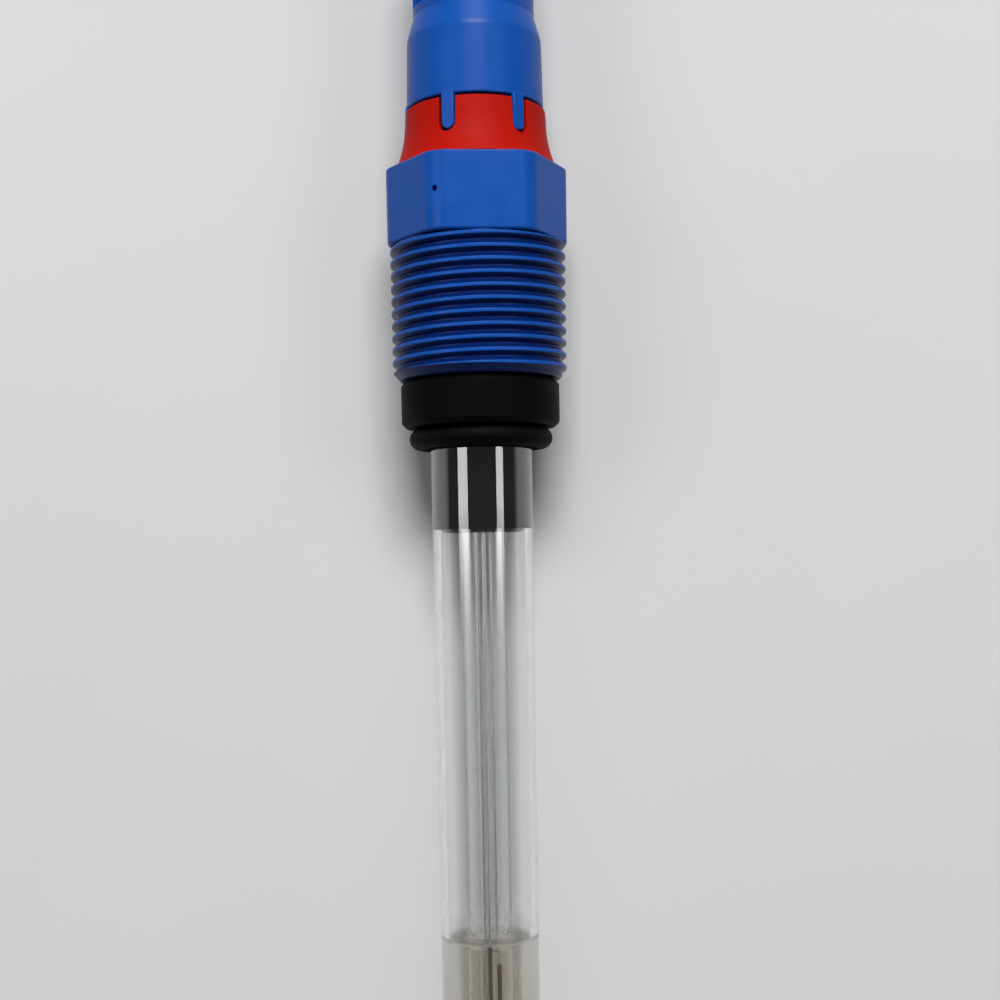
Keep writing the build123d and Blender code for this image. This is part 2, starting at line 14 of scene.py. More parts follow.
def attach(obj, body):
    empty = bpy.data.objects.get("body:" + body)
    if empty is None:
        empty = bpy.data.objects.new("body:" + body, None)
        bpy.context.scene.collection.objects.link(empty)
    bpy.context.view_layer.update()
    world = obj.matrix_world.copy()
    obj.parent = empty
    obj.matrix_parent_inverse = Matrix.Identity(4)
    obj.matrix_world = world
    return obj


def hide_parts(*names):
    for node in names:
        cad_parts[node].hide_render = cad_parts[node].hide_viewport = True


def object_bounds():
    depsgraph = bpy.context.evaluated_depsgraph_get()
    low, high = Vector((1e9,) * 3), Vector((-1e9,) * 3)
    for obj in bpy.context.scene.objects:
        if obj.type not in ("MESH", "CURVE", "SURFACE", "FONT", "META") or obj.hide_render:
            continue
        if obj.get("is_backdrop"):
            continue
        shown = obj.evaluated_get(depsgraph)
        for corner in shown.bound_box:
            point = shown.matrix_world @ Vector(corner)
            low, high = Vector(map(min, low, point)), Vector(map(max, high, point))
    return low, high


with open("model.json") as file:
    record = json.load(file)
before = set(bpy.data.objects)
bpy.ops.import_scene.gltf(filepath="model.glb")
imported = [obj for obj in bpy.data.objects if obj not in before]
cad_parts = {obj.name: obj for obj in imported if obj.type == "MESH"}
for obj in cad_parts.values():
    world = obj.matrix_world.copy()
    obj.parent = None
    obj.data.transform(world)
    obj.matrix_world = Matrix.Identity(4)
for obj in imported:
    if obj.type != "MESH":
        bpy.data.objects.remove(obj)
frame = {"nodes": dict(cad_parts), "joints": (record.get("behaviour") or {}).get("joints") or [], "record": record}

MM = 0.001
PHOTO_WIDTH = 1000
SENSOR_WIDTH = 36.0
# Points closer than this are one, in metres.
SEAM = 0.0005 * MM
# How near two stations are to count as one, and how far a tool reaches past a piece, in millimetres.
NEAR = 0.01
OVER = 1.0
PALE = (0.98, 0.99, 1.0, 1.0)
log = logging.getLogger("electrode")

Colour = tuple[float, float, float]
Spot = tuple[float, float]
Profile = list[Spot]
Ends = Callable[[Vector, Vector], bool]


class Body(Enum):
    """The bodies that move against each other."""

    ELECTRODE = "electrode"
    RING = "sealing_ring"
    COLLAR = "collar"


class Slot(Enum):
    """The material slots of the record."""

    BLUE = "blue_plastic"
    RED = "red_plastic"
    BLACK = "black_plastic"
    RUBBER = "black_rubber"
    STOPPER = "stopper_rubber"
    GLASS = "clear_glass"
    MEMBRANE = "membrane_glass"
    GEL = "gel"
    BUFFER = "buffer"
    SILVER = "silver"
    CHLORIDE = "silver_chloride"
    SENSOR_WIRE = "sensor_wire"
    JUNCTION = "junction_ceramic"
    BEAD = "sensor_bead"
    RESIN = "resin"
    BOARD = "board"
    CHIP = "chip"
    SMALL_PARTS = "small_parts"
    SOLDER = "solder"
    FERRITE = "ferrite"
    COPPER = "copper"


class Join(Enum):
    """Ways in which one solid acts on another."""

    CUT = "DIFFERENCE"
    KEEP = "INTERSECT"


class Socket(Enum):
    """Kinds of socket that a node group can have."""

    COLOUR = "NodeSocketColor"
    VALUE = "NodeSocketFloat"


def clear_selection() -> None:
    """Deselects every object."""
    for item in bpy.context.selected_objects:
        item.select_set(False)


def activate(piece: bpy.types.Object) -> None:
    """Selects one piece alone and makes it the active one."""
    clear_selection()
    piece.select_set(True)
    bpy.context.view_layer.objects.active = piece


def edit(piece: bpy.types.Object) -> None:
    """Opens a piece in edit mode with all of it selected."""
    activate(piece)
    bpy.ops.object.mode_set(mode="EDIT")
    bpy.ops.mesh.select_all(action="SELECT")


def leave_edit() -> None:
    """Goes back to object mode."""
    bpy.ops.object.mode_set(mode="OBJECT")


def apply_place(piece: bpy.types.Object) -> None:
    """Moves a piece's place, turn and scale into its mesh."""
    activate(piece)
    bpy.ops.object.transform_apply(location=True, rotation=True, scale=True)


def turn_piece(piece: bpy.types.Object, angle: float) -> None:
    """Turns a piece about the bench's axis by an angle in radians."""
    piece.rotation_euler.z = angle
    apply_place(piece)


def bevel(piece: bpy.types.Object, wanted: Ends, width: float, segments: int) -> None:
    """Rounds chosen edges of a piece.

    Args:
        piece: the piece, with its place applied.
        wanted: tells from an edge's two ends, in millimetres, whether it is chosen.
        width: width of the rounding, in millimetres.
        segments: faces across the rounding.
    """
    edit(piece)
    bpy.ops.mesh.select_mode(type="EDGE")
    bpy.ops.mesh.select_all(action="DESELECT")
    leave_edit()
    points = piece.data.vertices
    for edge in piece.data.edges:
        edge.select = wanted(*(points[index].co / MM for index in edge.vertices))
    bpy.ops.object.mode_set(mode="EDIT")
    bpy.ops.mesh.bevel(offset=width * MM, segments=segments, affect="EDGES")
    leave_edit()


def modify(piece: bpy.types.Object, kind: str, **settings: object) -> None:
    """Changes a piece's mesh with one modifier and applies it.

    Args:
        piece: the piece.
        kind: the modifier's type.
        settings: its own settings.
    """
    modifier = piece.modifiers.new("change", kind)
    for name, value in settings.items():
        setattr(modifier, name, value)
    activate(piece)
    bpy.ops.object.modifier_apply(modifier=modifier.name)


def act(piece: bpy.types.Object, tool: bpy.types.Object, join: Join) -> None:
    """Cuts a piece with a tool, or keeps what lies inside the tool, and throws the tool away."""
    modify(piece, "BOOLEAN", operation=join.value, solver="EXACT", object=tool)
    bpy.data.objects.remove(tool, do_unlink=True)


def soften(piece: bpy.types.Object, width: float) -> None:
    """Rounds a piece's sharp edges, over a width in millimetres."""
    sharper = math.radians(50.0)
    modify(piece, "BEVEL", width=width * MM, segments=3, limit_method="ANGLE", angle_limit=sharper)


def smooth(piece: bpy.types.Object, angle: float = 35.0) -> None:
    """Shades a piece smooth where it turns gently, with its wide faces kept flat."""
    activate(piece)
    bpy.ops.object.shade_smooth_by_angle(angle=math.radians(angle))
    modify(piece, "WEIGHTED_NORMAL", weight=90, keep_sharp=True)


def merge(pieces: list[bpy.types.Object]) -> bpy.types.Object:
    """Joins several pieces.

    Args:
        pieces: the pieces; the first one takes in the others.

    Returns:
        The first piece.
    """
    clear_selection()
    for piece in pieces:
        piece.select_set(True)
    bpy.context.view_layer.objects.active = pieces[0]
    bpy.ops.object.join()
    return pieces[0]


@dataclass(frozen=True)
class Corner:
    """A corner of a turned profile.

    Args:
        radius: distance from the long axis, in millimetres.
        station: place along the axis, in millimetres.
        rounding: radius of the corner itself, in millimetres.
    """

    radius: float
    station: float
    rounding: float = 0.0


def rounded(corners: list[Corner], steps: int = 5) -> Profile:
    """Works out a profile's points, with each corner's rounding as an arc.

    Args:
        corners: the corners in order; the line closes from the last to the first.
        steps: pieces per arc.

    Returns:
        Pairs of radius and station.
    """
    points = []
    for index, corner in enumerate(corners):
        here = Vector((corner.radius, corner.station))
        if corner.rounding <= 0:
            points.append((here.x, here.y))
            continue
        before = corners[index - 1]
        after = corners[(index + 1) % len(corners)]
        back = (Vector((before.radius, before.station)) - here).normalized()
        ahead = (Vector((after.radius, after.station)) - here).normalized()
        half = back.angle(ahead) / 2
        centre = here + (back + ahead).normalized() * corner.rounding / math.sin(half)
        run = corner.rounding / math.tan(half)
        first = here + back * run - centre
        last = here + ahead * run - centre
        start = math.atan2(first.y, first.x)
        turn = math.remainder(math.atan2(last.y, last.x) - start, math.tau)
        for step in range(steps + 1):
            angle = start + turn * step / steps
            across, along = corner.rounding * math.cos(angle), corner.rounding * math.sin(angle)
            points.append((centre.x + across, centre.y + along))
    return points


def arc(start: Spot, heading: Spot, end: Spot, steps: int = 10) -> Profile:
    """Works out an arc that leaves a point in a given direction.

    Args:
        start: its first point, as radius and station.
        heading: its direction there.
        end: its last point.
        steps: its number of pieces.

    Returns:
        Pairs of radius and station, with both ends.
    """
    chord = Vector(end) - Vector(start)
    first = math.atan2(heading[1], heading[0])
    bend = math.remainder(math.atan2(chord.y, chord.x) - first, math.tau)
    points = []
    for step in range(steps + 1):
        part = bend * step / steps
        reach = chord.length * math.sin(part) / math.sin(bend)
        points.append((start[0] + reach * math.cos(first + part), start[1] + reach * math.sin(first + part)))
    return points


def ease(start: Spot, end: Spot) -> Profile:
    """Works out a curve that leaves and arrives along the axis.

    Args:
        start: its first point, as radius and station.
        end: its last point.

    Returns:
        Pairs of radius and station, with both ends.
    """
    steps = 12
    points = []
    for step in range(steps + 1):
        share = step / steps
        blend = share * share * (3 - 2 * share)
        points.append((start[0] + (end[0] - start[0]) * blend, start[1] + (end[1] - start[1]) * share))
    return points


def dome(radius: float, centre: float, steps: int) -> Profile:
    """Works out the quarter circle from a bulb's widest place down to its pole."""
    turns = [math.pi / 2 * step / steps for step in range(steps)]
    side = [(radius * math.cos(turn), centre - radius * math.sin(turn)) for turn in turns]
    return [*side, (0.0, centre - radius)]


def draw(name: str, points: Profile, closed: bool = True) -> bpy.types.Object:
    """Draws a profile by extruding one vertex from point to point.

    Args:
        name: the piece's name.
        points: pairs of radius and station in millimetres.
        closed: whether the last point joins the first.

    Returns:
        The object, still in edit mode with all its vertices selected.
    """
    clear_selection()
    bpy.ops.mesh.primitive_plane_add(size=MM)
    piece = bpy.context.active_object
    piece.name = name
    bpy.ops.object.mode_set(mode="EDIT")
    bpy.ops.mesh.select_mode(type="VERT")
    bpy.ops.mesh.select_all(action="SELECT")
    bpy.ops.mesh.merge(type="CENTER")
    here = Vector((points[0][0], 0.0, points[0][1])) * MM
    bpy.ops.transform.translate(value=here)
    for radius, station in points[1:]:
        there = Vector((radius, 0.0, station)) * MM
        bpy.ops.mesh.extrude_vertices_move(TRANSFORM_OT_translate={"value": there - here})
        here = there
    bpy.ops.mesh.select_all(action="SELECT")
    if closed:
        bpy.ops.mesh.edge_face_add()
        bpy.ops.mesh.delete(type="ONLY_FACE")
        bpy.ops.mesh.select_all(action="SELECT")
    return piece


def turned(name: str, points: Profile, closed: bool = True, steps: int = 128) -> bpy.types.Object:
    """Turns a profile about the bench's axis.

    Args:
        name: the piece's name.
        points: pairs of radius and station in millimetres.
        closed: whether the profile is a closed line; if not, it starts and ends on the axis.
        steps: sides of the turned piece.

    Returns:
        The turned piece, in object mode, with its faces outwards.
    """
    piece = draw(name, points, closed)
    bpy.ops.mesh.spin(steps=steps, angle=math.tau, center=(0, 0, 0), axis=(0, 0, 1))
    bpy.ops.mesh.select_all(action="SELECT")
    bpy.ops.mesh.remove_doubles(threshold=SEAM)
    bpy.ops.mesh.normals_make_consistent(inside=False)
    leave_edit()
    return piece


def sector(name: str, points: Profile, start: float, sweep: float) -> bpy.types.Object:
    """Turns a closed profile through part of a circle and closes both ends.

    Args:
        name: the piece's name.
        points: pairs of radius and station in millimetres.
        start: angle where it begins, in degrees from straight up.
        sweep: angle that it covers, in degrees.

    Returns:
        The closed piece, in object mode.
    """
    piece = draw(name, points)
    bpy.ops.mesh.spin(steps=16, angle=math.radians(sweep), center=(0, 0, 0), axis=(0, 0, 1))
    bpy.ops.mesh.select_all(action="SELECT")
    bpy.ops.mesh.fill_holes(sides=0)
    bpy.ops.mesh.normals_make_consistent(inside=False)
    leave_edit()
    low = min(math.atan2(point.co.y, point.co.x) for point in piece.data.vertices)
    turn_piece(piece, math.radians(start) - low)
    return piece


def bar(name: str, inner: float, outer: float, width: float, foot: float, top: float) -> bpy.types.Object:
    """Makes a square bar along the axis, straight up from it.

    Args:
        name: the piece's name.
        inner: radius of its inner face, in millimetres.
        outer: radius of its outer face.
        width: its width.
        foot: station of its lower end.
        top: station of its upper end.

    Returns:
        The bar, with its place applied.
    """
    clear_selection()
    middle = Vector(((inner + outer) / 2, 0.0, (foot + top) / 2)) * MM
    bpy.ops.mesh.primitive_cube_add(size=MM, location=middle, scale=(outer - inner, width, top - foot))
    piece = bpy.context.active_object
    piece.name = name
    apply_place(piece)
    return piece


def round_foot(piece: bpy.types.Object, width: float, foot: float) -> None:
    """Rounds the lower end of a bar, as that of a key or of the tool for its slot."""
    almost_half = 0.49
    bevel(piece, lambda a, b: max(a.z, b.z) < foot + NEAR and abs(a.y - b.y) < NEAR, width * almost_half, 10)


def rod(radius: float, foot: float, top: float, sides: int, place: Spot = (0.0, 0.0)) -> bpy.types.Object:
    """Makes a rod along the axis.

    Args:
        radius: its radius, in millimetres.
        foot: station of its lower end.
        top: station of its upper end.
        sides: number of its sides.
        place: its distance from the axis, upwards and to the right.

    Returns:
        The rod.
    """
    clear_selection()
    middle = Vector((*place, (foot + top) / 2)) * MM
    bpy.ops.mesh.primitive_cylinder_add(
        vertices=sides, radius=radius * MM, depth=(top - foot) * MM, location=middle
    )
    return bpy.context.active_object


def peg(
    name: str, radius: float, length: float, reach: float, station: float, turn: float
) -> bpy.types.Object:
    """Makes a round peg that points outwards from the axis, as a tool for a small bore.

    Args:
        name: the piece's name.
        radius: its radius, in millimetres.
        length: its length.
        reach: distance of its middle from the axis.
        station: its place along the axis.
        turn: its angle from straight up, in degrees.

    Returns:
        The peg, with its place applied.
    """
    clear_selection()
    angle = math.radians(turn)
    middle = Vector((reach * math.cos(angle), reach * math.sin(angle), station)) * MM
    bpy.ops.mesh.primitive_cylinder_add(
        vertices=32, radius=radius * MM, depth=length * MM, location=middle, rotation=(0, math.pi / 2, angle)
    )
    piece = bpy.context.active_object
    piece.name = name
    apply_place(piece)
    return piece


@dataclass(frozen=True)
class LongAxis:
    """The electrode's long axis, taken from the collar's joint in the frame.

    Args:
        origin: the point where all stations start, in metres.
        along: unit vector towards the plug-in head.
    """

    origin: Vector
    along: Vector

    @classmethod
    def from_frame(cls) -> "LongAxis":
        """Reads the axis from the joint about which the collar turns."""
        joint = next(item for item in frame["joints"] if item["name"] == "collar_turn")
        return cls(Vector(joint["pos_m"]), Vector(joint["axis"]).normalized())

    @property
    def side(self) -> Vector:
        """Unit vector to the right of the electrode."""
        return Vector((1.0, 0.0, 0.0))

    @property
    def upward(self) -> Vector:
        """Unit vector square to the axis, away from the paper."""
        return self.side.cross(self.along)

    @property
    def place(self) -> Matrix:
        """Matrix from the bench, with Z along the axis and X upward, to the frame."""
        turn = Matrix((self.upward, self.side, self.along)).transposed()
        return Matrix.Translation(self.origin) @ turn.to_4x4()

    def point(self, station: float, up: float = 0.0, side: float = 0.0) -> Vector:
        """A point in the frame from a station, a height and a side distance in millimetres."""
        return self.place @ (Vector((up, side, station)) * MM)


AXIS = LongAxis.from_frame()


class Web:
    """A shader node tree that is built node by node."""

    def __init__(self, tree: bpy.types.NodeTree) -> None:
        """Takes hold of the tree."""
        self.tree = tree

    @classmethod
    def of(cls, data: bpy.types.ID) -> "Web":
        """Opens the node tree of a material, a lamp or a world."""
        data.use_nodes = True
        return cls(data.node_tree)

    @classmethod
    def group(cls, name: str, inputs: dict[str, object]) -> "Web":
        """Starts a node group.

        Args:
            name: the group's name.
            inputs: its inputs' names and default values; a colour has four parts.

        Returns:
            The group's tree.
        """
        web = cls(bpy.data.node_groups.new(name, "ShaderNodeTree"))
        for label, value in inputs.items():
            kind = Socket.COLOUR if isinstance(value, tuple) else Socket.VALUE
            socket = web.tree.interface.new_socket(label, in_out="INPUT", socket_type=kind.value)
            socket.default_value = value
        web.tree.nodes.new("NodeGroupInput").name = "given"
        return web

    def given(self, label: str) -> bpy.types.NodeSocket:
        """One of the group's inputs."""
        return self.tree.nodes["given"].outputs[label]

    def give(self, results: dict[str, bpy.types.NodeSocket]) -> bpy.types.NodeTree:
        """Puts out the group's results.

        Args:
            results: the results by name.

        Returns:
            The finished group.
        """
        for label, result in results.items():
            kind = Socket.COLOUR if result.type == "RGBA" else Socket.VALUE
            self.tree.interface.new_socket(label, in_out="OUTPUT", socket_type=kind.value)
        self.fill(self.tree.nodes.new("NodeGroupOutput"), results)
        return self.tree

    def fill(self, node: bpy.types.Node, inputs: dict[str | int, object]) -> None:
        """Sets a node's inputs to values, or links them to other nodes' outputs.

        Args:
            node: the node.
            inputs: a value or an output for each input, by its name or number.
        """
        for label, value in inputs.items():
            if isinstance(value, bpy.types.NodeSocket):
                self.tree.links.new(value, node.inputs[label])
            else:
                node.inputs[label].default_value = value

    def add(
        self, kind: str, inputs: dict[str | int, object] | None = None, **settings: object
    ) -> bpy.types.bpy_prop_collection:
        """Adds a node.

        Args:
            kind: its type, without the leading ShaderNode.
            inputs: what goes into its sockets.
            settings: its own settings, which come first because they can change its sockets.

        Returns:
            The node's outputs.
        """
        node = self.tree.nodes.new(f"ShaderNode{kind}")
        for name, value in settings.items():
            setattr(node, name, value)
        self.fill(node, inputs or {})
        return node.outputs

    def math(self, operation: str, *inputs: object, clamp: bool = False) -> bpy.types.NodeSocket:
        """Adds a calculation and returns its result."""
        return self.add("Math", dict(enumerate(inputs)), operation=operation, use_clamp=clamp)["Value"]

    def length(self, vector: bpy.types.NodeSocket) -> bpy.types.NodeSocket:
        """Adds the length of a vector and returns it."""
        return self.add("VectorMath", {0: vector}, operation="LENGTH")["Value"]

    def blend(self, share: object, first: object, second: object) -> bpy.types.NodeSocket:
        """Adds a mix of two colours and returns it."""
        return self.add("Mix", {"Factor": share, "A": first, "B": second}, data_type="RGBA")["Result"]

    def ramp(
        self,
        value: bpy.types.NodeSocket,
        low: object = 0.0,
        high: object = 1.0,
        start: float = 0.0,
        end: float = 1.0,
        interpolation: str = "LINEAR",
    ) -> bpy.types.NodeSocket:
        """Adds a change of range.

        Args:
            value: what is changed.
            low: where the old range starts.
            high: where it ends.
            start: where the new range starts.
            end: where it ends.
            interpolation: how it runs between them.

        Returns:
            The value in its new range.
        """
        inputs = {"Value": value, "From Min": low, "From Max": high, "To Min": start, "To Max": end}
        return self.add("MapRange", inputs, interpolation_type=interpolation)["Result"]

    def show(self, share: bpy.types.NodeSocket, second: bpy.types.NodeSocket) -> None:
        """Shows a material's plain shader mixed with a second one."""
        nodes = self.tree.nodes
        both = {0: share, 1: nodes["Principled BSDF"].outputs["BSDF"], 2: second}
        self.fill(nodes["Material Output"], {"Surface": self.add("MixShader", both)["Shader"]})


class Effects:
    """The shared effects, each built once as a node group."""

    def __init__(self) -> None:
        """Builds the groups."""
        self.mottle = self.build_mottle()
        self.grain = self.build_grain()
        # The mask of the painted shade in a thread's valleys.
        self.valleys = self.build_painted_valley_shade()

    @staticmethod
    def build_mottle() -> bpy.types.NodeTree:
        """Builds the uneven colour of a moulded, cast or rubbed surface.

        Returns:
            A group that puts out a colour and the mask of its lighter patches.
        """
        grey, pale = (0.5, 0.5, 0.5, 1.0), (0.6, 0.6, 0.6, 1.0)
        web = Web.group("mottle", {"Colour": grey, "Patch colour": pale, "Scale": 300.0, "Amount": 0.3})
        place = web.add("TexCoord")["Object"]
        texture = {"Vector": place, "Scale": web.given("Scale"), "Detail": 5.0, "Roughness": 0.6}
        mask = web.ramp(web.add("TexNoise", texture)["Fac"], 0.38, 0.72)
        share = web.math("MULTIPLY", mask, web.given("Amount"))
        colour = web.blend(share, web.given("Colour"), web.given("Patch colour"))
        return web.give({"Colour": colour, "Mask": mask})

    @staticmethod
    def build_grain() -> bpy.types.NodeTree:
        """Builds the fine texture that a mould's wall leaves.

        Returns:
            A group that puts out a height.
        """
        web = Web.group("grain", {"Scale": 3000.0})
        place = web.add("TexCoord")["Object"]
        height = web.add("TexNoise", {"Vector": place, "Scale": web.given("Scale"), "Detail": 3.0})["Fac"]
        return web.give({"Height": height})

    @staticmethod
    def build_painted_valley_shade() -> bpy.types.NodeTree:
        """Builds the mask of the painted shade in a thread's valleys, from the distance to the long axis.

        Returns:
            A group that puts out a mask, 1 in the valleys.
        """
        limits = ("Low radius", "High radius", "Foot", "Top")
        web = Web.group("painted thread valley shade", dict.fromkeys(limits, 0.0))
        turn = AXIS.place.inverted()
        bench = {"Location": turn.to_translation(), "Rotation": turn.to_euler()}
        place = web.add("Mapping", {"Vector": web.add("TexCoord")["Object"], **bench})["Vector"]
        parts = web.add("SeparateXYZ", {"Vector": place})
        reach = web.length(web.add("CombineXYZ", {"X": parts["X"], "Y": parts["Y"]})["Vector"])
        depth = web.ramp(reach, web.given("Low radius"), web.given("High radius"), 1.0, 0.0, "SMOOTHSTEP")
        above = web.math("GREATER_THAN", parts["Z"], web.given("Foot"))
        below = web.math("LESS_THAN", parts["Z"], web.given("Top"))
        return web.give({"Mask": web.math("MULTIPLY", web.math("MULTIPLY", above, below), depth)})


@dataclass(frozen=True)
class PaintedValleyShade:
    """Painted shade that darkens a thread's valleys and flanks below its crests.

    Args:
        colour: colour of the painted shade in the valleys, linear.
        low: radius up to which the painted shade is full, in millimetres.
        high: radius from which the crest keeps its own colour, without painted shade.
        foot: station where the grooves start.
        top: station where they end.
    """

    colour: Colour
    low: float
    high: float
    foot: float
    top: float

    @property
    def limits(self) -> dict[str, float]:
        """The sizes under the names of the shared effect's inputs, in metres."""
        sizes = {"Low radius": self.low, "High radius": self.high, "Foot": self.foot, "Top": self.top}
        return {label: size * MM for label, size in sizes.items()}


@dataclass(frozen=True)
class Solid:
    """An opaque finish.

    Args:
        name: the material's name.
        colour: main colour, linear.
        patch: colour of the lighter patches, linear.
        roughness: roughness outside the patches.
        metal: 1 for bare metal.
        grain: depth of the fine texture, in millimetres.
        specular: strength of the plain reflection.
        grooves: painted shade in a thread's valleys, if it has them.
    """

    name: str
    colour: Colour
    patch: Colour
    roughness: float = 0.4
    metal: float = 0.0
    grain: float = 0.004
    specular: float = 0.5
    grooves: PaintedValleyShade | None = None

    def build(self, effects: Effects) -> bpy.types.Material:
        """Builds the material.

        Args:
            effects: the shared effects.

        Returns:
            The material, with the patches, the grain and any painted shade in a thread's valleys.
        """
        material = bpy.data.materials.new(self.name)
        web = Web.of(material)
        colours = {"Colour": (*self.colour, 1.0), "Patch colour": (*self.patch, 1.0)}
        patches = web.add("Group", colours, node_tree=effects.mottle)
        colour = patches["Colour"]
        # Painted shade: below the crests the thread's colour darkens, standing in for the shade in its valleys.
        if self.grooves:
            painted_shade_mask = web.add("Group", self.grooves.limits, node_tree=effects.valleys)["Mask"]
            colour = web.blend(painted_shade_mask, colour, (*self.grooves.colour, 1.0))
        height = web.add("Group", node_tree=effects.grain)["Height"]
        bump = {"Strength": 0.5, "Distance": self.grain * MM, "Height": height}
        duller = min(1.0, self.roughness * 1.25)
        surface = {
            "Base Color": colour,
            "Metallic": self.metal,
            "Roughness": web.ramp(patches["Mask"], start=self.roughness, end=duller),
            "Specular IOR Level": self.specular,
            "Normal": web.add("Bump", bump)["Normal"],
        }
        web.fill(web.tree.nodes["Principled BSDF"], surface)
        return material


@dataclass(frozen=True)
class Clear:
    """A finish that light passes through.

    Args:
        name: the material's name.
        colour: tint of what is seen through it, linear.
        index: refractive index.
        shade: share of the lamps' light that passes through each wall.
        coat: strength of the bright outer reflection.
        coat_index: refractive index of the outer reflection.
        skin: roughness of a filling's settled upper surface.
        skin_from: where along the object that surface starts, in metres.
    """

    name: str
    colour: Colour
    index: float = 1.5
    shade: Colour = (0.985, 0.987, 0.986)
    coat: float = 0.0
    coat_index: float = 1.5
    skin: float = 0.0
    skin_from: float = 0.0

    def build(self, effects: Effects) -> bpy.types.Material:
        """Builds the material.

        Args:
            effects: the shared effects.

        Returns:
            The material, which lets the lamps reach what lies behind it.
        """
        material = bpy.data.materials.new(self.name)
        web = Web.of(material)
        darker = (*(part * 0.97 for part in self.colour), 1.0)
        tints = {"Colour": (*self.colour, 1.0), "Patch colour": darker}
        patches = web.add("Group", {**tints, "Scale": 60.0, "Amount": 0.5}, node_tree=effects.mottle)
        roughness = web.ramp(patches["Mask"], end=0.002)
        if self.skin:
            along = web.add("SeparateXYZ", {"Vector": web.add("TexCoord")["Object"]})["Y"]
            edge = 0.1 * MM
            upper = web.ramp(along, self.skin_from - edge, self.skin_from, end=self.skin)
            roughness = web.math("ADD", upper, roughness)
        surface = {
            "Base Color": patches["Colour"],
            "Roughness": roughness,
            "IOR": self.index,
            "Transmission Weight": 1.0,
            "Coat Weight": self.coat,
            "Coat Roughness": 0.0,
            "Coat IOR": self.coat_index,
        }
        web.fill(web.tree.nodes["Principled BSDF"], surface)
        path = web.add("LightPath")
        straight = web.math("MAXIMUM", path["Is Shadow Ray"], path["Is Diffuse Ray"])
        web.show(straight, web.add("BsdfTransparent", {"Color": (*self.shade, 1.0)})["BSDF"])
        return material


FINISHES = {
    Slot.BLUE: Solid(
        "blue plastic",
        (0.004, 0.071, 0.36),
        (0.008, 0.092, 0.43),
        0.32,
        grain=0.003,
        specular=0.13,
        # The thread's valleys and flanks take a darker colour here: painted shade.
        grooves=PaintedValleyShade((0.001, 0.013, 0.10), 10.12, 10.2, 5.5, 20.9),
    ),
    Slot.RED: Solid(
        "red plastic", (0.41, 0.006, 0.002), (0.49, 0.014, 0.005), 0.5, grain=0.003, specular=0.06
    ),
    Slot.BLACK: Solid("black plastic", (0.0016, 0.0016, 0.0019), (0.003, 0.003, 0.0035), 0.5, specular=0.04),
    Slot.RUBBER: Solid("black rubber", (0.002, 0.002, 0.0022), (0.005, 0.005, 0.005), 0.55, specular=0.05),
    Slot.STOPPER: Solid("stopper rubber", (0.002, 0.002, 0.002), (0.006, 0.0055, 0.005), 0.6, specular=0.04),
    Slot.GLASS: Clear("clear glass", (0.96, 0.966, 0.968), 1.58, (0.972, 0.975, 0.976), 1.0, 1.9),
    Slot.MEMBRANE: Clear("membrane glass", (0.96, 0.98, 0.97)),
    Slot.GEL: Clear(
        "reference gel", (0.985, 0.958, 0.905), 1.36, (0.975, 0.965, 0.94), skin=0.55, skin_from=-0.0613
    ),
    Slot.BUFFER: Clear("inner buffer", (0.995, 0.965, 0.96), 1.34, (0.99, 0.98, 0.98)),
    Slot.SILVER: Solid("silver wire", (0.78, 0.77, 0.74), (0.6, 0.58, 0.54), 0.28, metal=1.0),
    Slot.CHLORIDE: Solid("silver chloride", (0.045, 0.022, 0.015), (0.09, 0.05, 0.035), 0.6),
    Slot.SENSOR_WIRE: Solid("tinned wire", (0.62, 0.62, 0.62), (0.5, 0.5, 0.5), 0.3, metal=1.0),
    Slot.JUNCTION: Solid("junction ceramic", (0.78, 0.76, 0.72), (0.66, 0.63, 0.58), 0.7, grain=0.01),
    Slot.BEAD: Solid("sensor bead", (0.05, 0.05, 0.05), (0.1, 0.1, 0.1), 0.25),
    Slot.RESIN: Solid("cast resin", (0.10, 0.08, 0.06), (0.14, 0.12, 0.09), 0.3),
    Slot.BOARD: Solid("circuit board", (0.010, 0.10, 0.03), (0.02, 0.15, 0.05), 0.4),
    Slot.CHIP: Solid("chip body", (0.012, 0.012, 0.013), (0.03, 0.03, 0.03), 0.5),
    Slot.SMALL_PARTS: Solid("small board parts", (0.32, 0.25, 0.18), (0.45, 0.40, 0.34), 0.4),
    Slot.SOLDER: Solid("solder", (0.62, 0.63, 0.64), (0.5, 0.5, 0.5), 0.25, metal=1.0),
    Slot.FERRITE: Solid("ferrite", (0.02, 0.02, 0.021), (0.04, 0.04, 0.042), 0.6),
    Slot.COPPER: Solid("lacquered copper", (0.62, 0.22, 0.08), (0.5, 0.16, 0.05), 0.3, metal=1.0),
}

INNER_GLASS = Clear("inner glass", (0.985, 0.988, 0.988))


class Wardrobe:
    """Builds the finishes and dresses pieces and nodes in them."""

    def __init__(self) -> None:
        """Builds every finish from the shared effects."""
        effects = Effects()
        self.materials = {slot: finish.build(effects) for slot, finish in FINISHES.items()}
        self.inner_glass = INNER_GLASS.build(effects)

    def dress(self, piece: bpy.types.Object, slot: Slot, inside: bool = False) -> None:
        """Gives a piece one finish all over.

        Args:
            piece: the piece.
            slot: the slot whose finish it takes.
            inside: whether it is glass inside the shaft, which lacks the shaft's bright reflection.
        """
        piece.data.materials.clear()
        piece.data.materials.append(self.inner_glass if inside else self.materials[slot])

    def dress_nodes(self) -> None:
        """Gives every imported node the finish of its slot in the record."""
        for row in frame["record"]["subparts"]:
            for place in frame["nodes"][row["node"]].material_slots:
                place.material = self.materials[Slot(row["material_slot"])]
        log.info("%d nodes dressed", len(frame["nodes"]))


